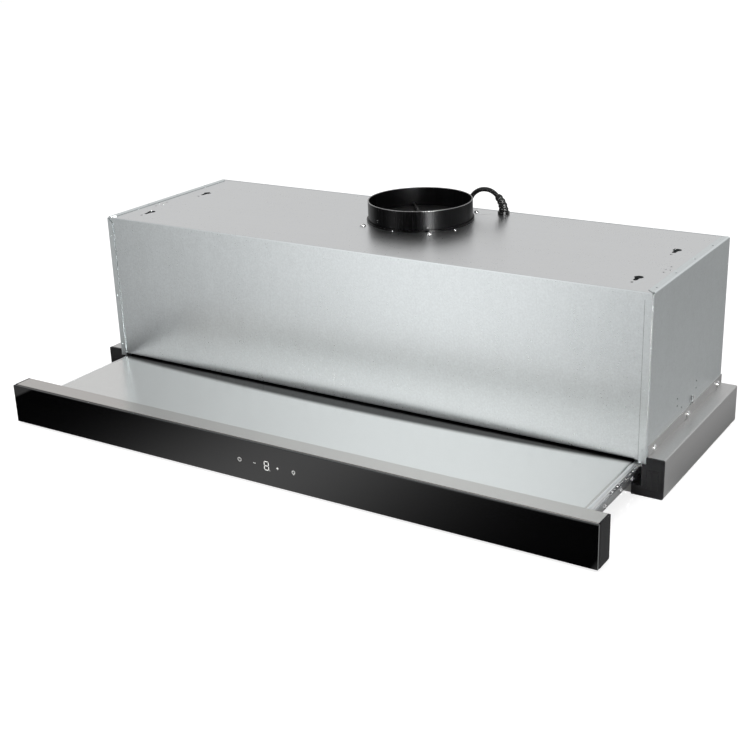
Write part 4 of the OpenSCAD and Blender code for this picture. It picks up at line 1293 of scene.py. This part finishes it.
@dataclass(frozen=True)
class PowerCord:
    """Cord from the boot on the casing's top down the rear to a coil and its plug.

    The coil's mean radius is in diameters of the cord.
    """

    diameter: float = 6.6
    top_z: float = 260.5
    boot_foot: Point = (98.5, 265.0)
    boot_base: float = 3.0
    boot_bend: float = 28.7
    boot_turn: float = 50.0
    coil_turns: int = 2
    coil_mean: float = 5.5
    turn_gap: float = 0.5
    coil_at: Point = (-14.0, 290.0)
    coil_z: float = 3.4
    coil_steps: int = 48
    coil_tail: float = 12.0
    roundness: int = 5
    plug: Plastic = Plastic("plug_black", (0.014, 0.014, 0.014), roughness=0.38)
    route: Sequence[Point] = (
        (83.2, 265, 289.7), (76, 265, 292.8), (67, 265, 293.5), (59, 265.5, 291.5),
        (52, 267, 287.5), (46, 270, 282.5), (41, 274, 277), (37, 279, 271), (34, 284.5, 263.5),
        (32, 288.5, 254), (31, 290, 240), *((30, 290, z) for z in (215, 180, 140, 100, 65, 42)),
        (27.5, 290, 27), (21, 290, 13.5), (11, 290, 5.8), (3, 290, 3.6), (-6, 290, 3.4),
    )

    def coil_point(self, t: float) -> Vector:
        """Point of the coil, which winds in on the ground, climbs a layer and winds out.

        Args:
            t: turns from its start.

        Returns:
            The point.
        """
        pitch = self.diameter + self.turn_gap
        outer = self.coil_mean * self.diameter + self.coil_turns * pitch / 2
        inner = outer - self.coil_turns * pitch
        climb = t - self.coil_turns
        if climb < 0:
            radius = outer - pitch * t
        elif climb < 0.5:
            radius = inner - pitch / 4 * math.sin(2 * math.pi * climb)
        else:
            radius = inner + pitch * (climb - 0.5)
        u = min(max(climb * 2, 0.0), 1.0)
        a = 2 * math.pi * t
        return at(
            self.coil_at[0] - radius * math.sin(a),
            self.coil_at[1] + outer - radius * math.cos(a),
            self.coil_z + pitch * u * u * (3 - 2 * u),
        )

    def path(self) -> list[Vector]:
        """The whole cord's middle line, from the boot's mouth to the plug."""
        turn = math.radians(self.boot_turn)
        mouth = at(
            self.boot_foot[0] - self.boot_bend * (1 - math.cos(turn)),
            self.boot_foot[1],
            self.top_z + self.boot_base + self.boot_bend * math.sin(turn),
        )
        free = smooth_path([mouth, *(at(*place) for place in self.route)], 5)
        turns = 2 * self.coil_turns + 0.5
        count = int(self.coil_steps * turns)
        coil = [self.coil_point(i / self.coil_steps) for i in range(count + 1)]
        tail = coil[-1] + Vector((self.coil_tail * MM, 0.0, 0.0))
        return free + coil + [tail]

    def build(self) -> None:
        """Makes the cord as one round line and dresses its ends."""
        path = self.path()
        curve = bpy.data.curves.new("power_cord", "CURVE")
        curve.dimensions = "3D"
        curve.bevel_depth = self.diameter / 2 * MM
        curve.bevel_resolution = self.roundness
        curve.use_fill_caps = True
        line = curve.splines.new("POLY")
        line.points.add(len(path) - 1)
        for point, place in zip(line.points, path):
            point.co = (*place, 1.0)
        line.use_smooth = True
        replaced = ("cord", "cord_coil")
        made = new_piece("power_cord", curve, CORD_RUBBER, Body.HOUSING, replaced)
        CORD_RUBBER.wear("cord_boot", "cord", "cord_coil")
        self.plug.wear("plug_body")
        BRASS.wear("plug_blades")


# ---- Touch panel ----


@dataclass(frozen=True)
class TouchPanel:
    """Black glass with its board, springs, and signs: power, minus, digit, plus and lamp.

    A sign is made of strokes, whose lines are in x, and in z from the row's height.
    """

    glass: Glass = Glass("deep_glass")
    ink: Lit = Lit("sign_print")
    height_z: float = 29.7
    lift: float = 0.02
    thin: float = 0.55
    bold: float = 0.605
    bar: float = 1.045
    power_x: float = -43.4
    minus_x: float = -19.5
    digit_x: float = -0.7
    plus_x: float = 16.5
    lamp_x: float = 41.2
    power_r: float = 2.5
    lamp_r: float = 2.1
    half_sign: float = 2.1
    digit_w: float = 6.6
    digit_h: float = 11.6
    digit_gap: float = 0.7
    arc_parts: int = 24

    def ribbon(self, shape: Shape, line: Line, width: float) -> None:
        """Adds a flat stroke along a line in the glass's plane, facing the front.

        Args:
            shape: the mesh to add to.
            line: its points in x and z, in millimetres.
            width: the stroke's width.
        """
        y = (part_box("glass_front")[0][1] - FRONT_Y) / MM - self.lift
        rows = []
        for i, (x, z) in enumerate(line):
            before, after = line[max(i - 1, 0)], line[min(i + 1, len(line) - 1)]
            dx, dz = after[0] - before[0], after[1] - before[1]
            half = width / 2 / math.hypot(dx, dz)
            sides = [(x - s * dz * half, z + s * dx * half) for s in (1, -1)]
            rows.append([shape.verts.new(at(u, y, self.height_z + v)) for u, v in sides])
        for (a, b), (c, d) in zip(rows, rows[1:]):
            shape.faces.new((a, b, d, c))

    def arc(self, x: float, r: float, start: float, end: float) -> Line:
        """Arc about a point of the row, from one turn in degrees to another."""
        turns = (start + (end - start) * i / self.arc_parts for i in range(self.arc_parts + 1))
        return [(x + r * math.cos(a), r * math.sin(a)) for a in map(math.radians, turns)]

    def level(self, x: float, half: float, z: float = 0.0) -> Line:
        """Level line about a middle."""
        return [(x - half, z), (x + half, z)]

    def signs(self) -> list[tuple[Line, float]]:
        """Strokes of the power, minus, plus and lamp signs, with their widths."""
        half = self.half_sign
        return [
            (self.arc(self.power_x, self.power_r, 118, 422), self.thin),
            ([(self.power_x, 0.9), (self.power_x, self.power_r + 0.7)], self.thin),
            (self.level(self.minus_x, half), self.thin),
            (self.level(self.plus_x, half), self.bold),
            ([(self.plus_x, -half), (self.plus_x, half)], self.bold),
            (self.arc(self.lamp_x, self.lamp_r, 0, 360), self.bold),
            (self.level(self.lamp_x, 0.9, -3.1), self.thin),
        ]

    def digit(self) -> list[tuple[Line, float]]:
        """Strokes of the seven bars and the point of the lit digit, with their widths."""
        half_w, half_h, gap = self.digit_w / 2, self.digit_h / 2, self.digit_gap
        lines = [self.level(self.digit_x, half_w - gap, z) for z in (-half_h, 0.0, half_h)]
        for x in (self.digit_x - half_w, self.digit_x + half_w):
            lines += [[(x, z + gap), (x, z + half_h - gap)] for z in (-half_h, 0.0)]
        point = self.level(self.digit_x + half_w + 1.6, 0.4, -half_h)
        return [*((line, self.bar) for line in lines), (point, 0.9)]

    def fill(self, shape: Shape) -> None:
        """Adds every sign's strokes."""
        for line, width in self.signs() + self.digit():
            self.ribbon(shape, line, width)

    def build(self) -> None:
        """Dresses the panel and makes the signs as one printed sheet on the glass."""
        self.glass.wear("glass_front")
        CIRCUIT_BOARD.wear("touch_board")
        BRASS.wear("touch_springs")
        mesh = mesh_of("touch_signs", self.fill, smooth=False)
        new_piece("touch_signs", mesh, self.ink, Body.DRAWER)


def main() -> None:
    """Builds the scene in order."""
    logging.basicConfig(level=logging.INFO, format="%(name)s: %(message)s")
    Studio().build()
    PowerCord().build()
    for part in (Casing(), SideFrames(), Slides(), Drawer(), TouchPanel(), Blower(), Underside()):
        part.build()
    rows = PartRows()
    DuctCollar().build(rows)
    for screws in (
        Screws("flange_screws", Body.HOUSING, Axis.X),
        Screws("collar_screws", Body.HOUSING, Axis.Z),
        Screws("runner_screws", Body.DRAWER, Axis.X, head_r=3.4, head_h=1.4),
    ):
        screws.build(rows)


if __name__ == "__main__":
    main()
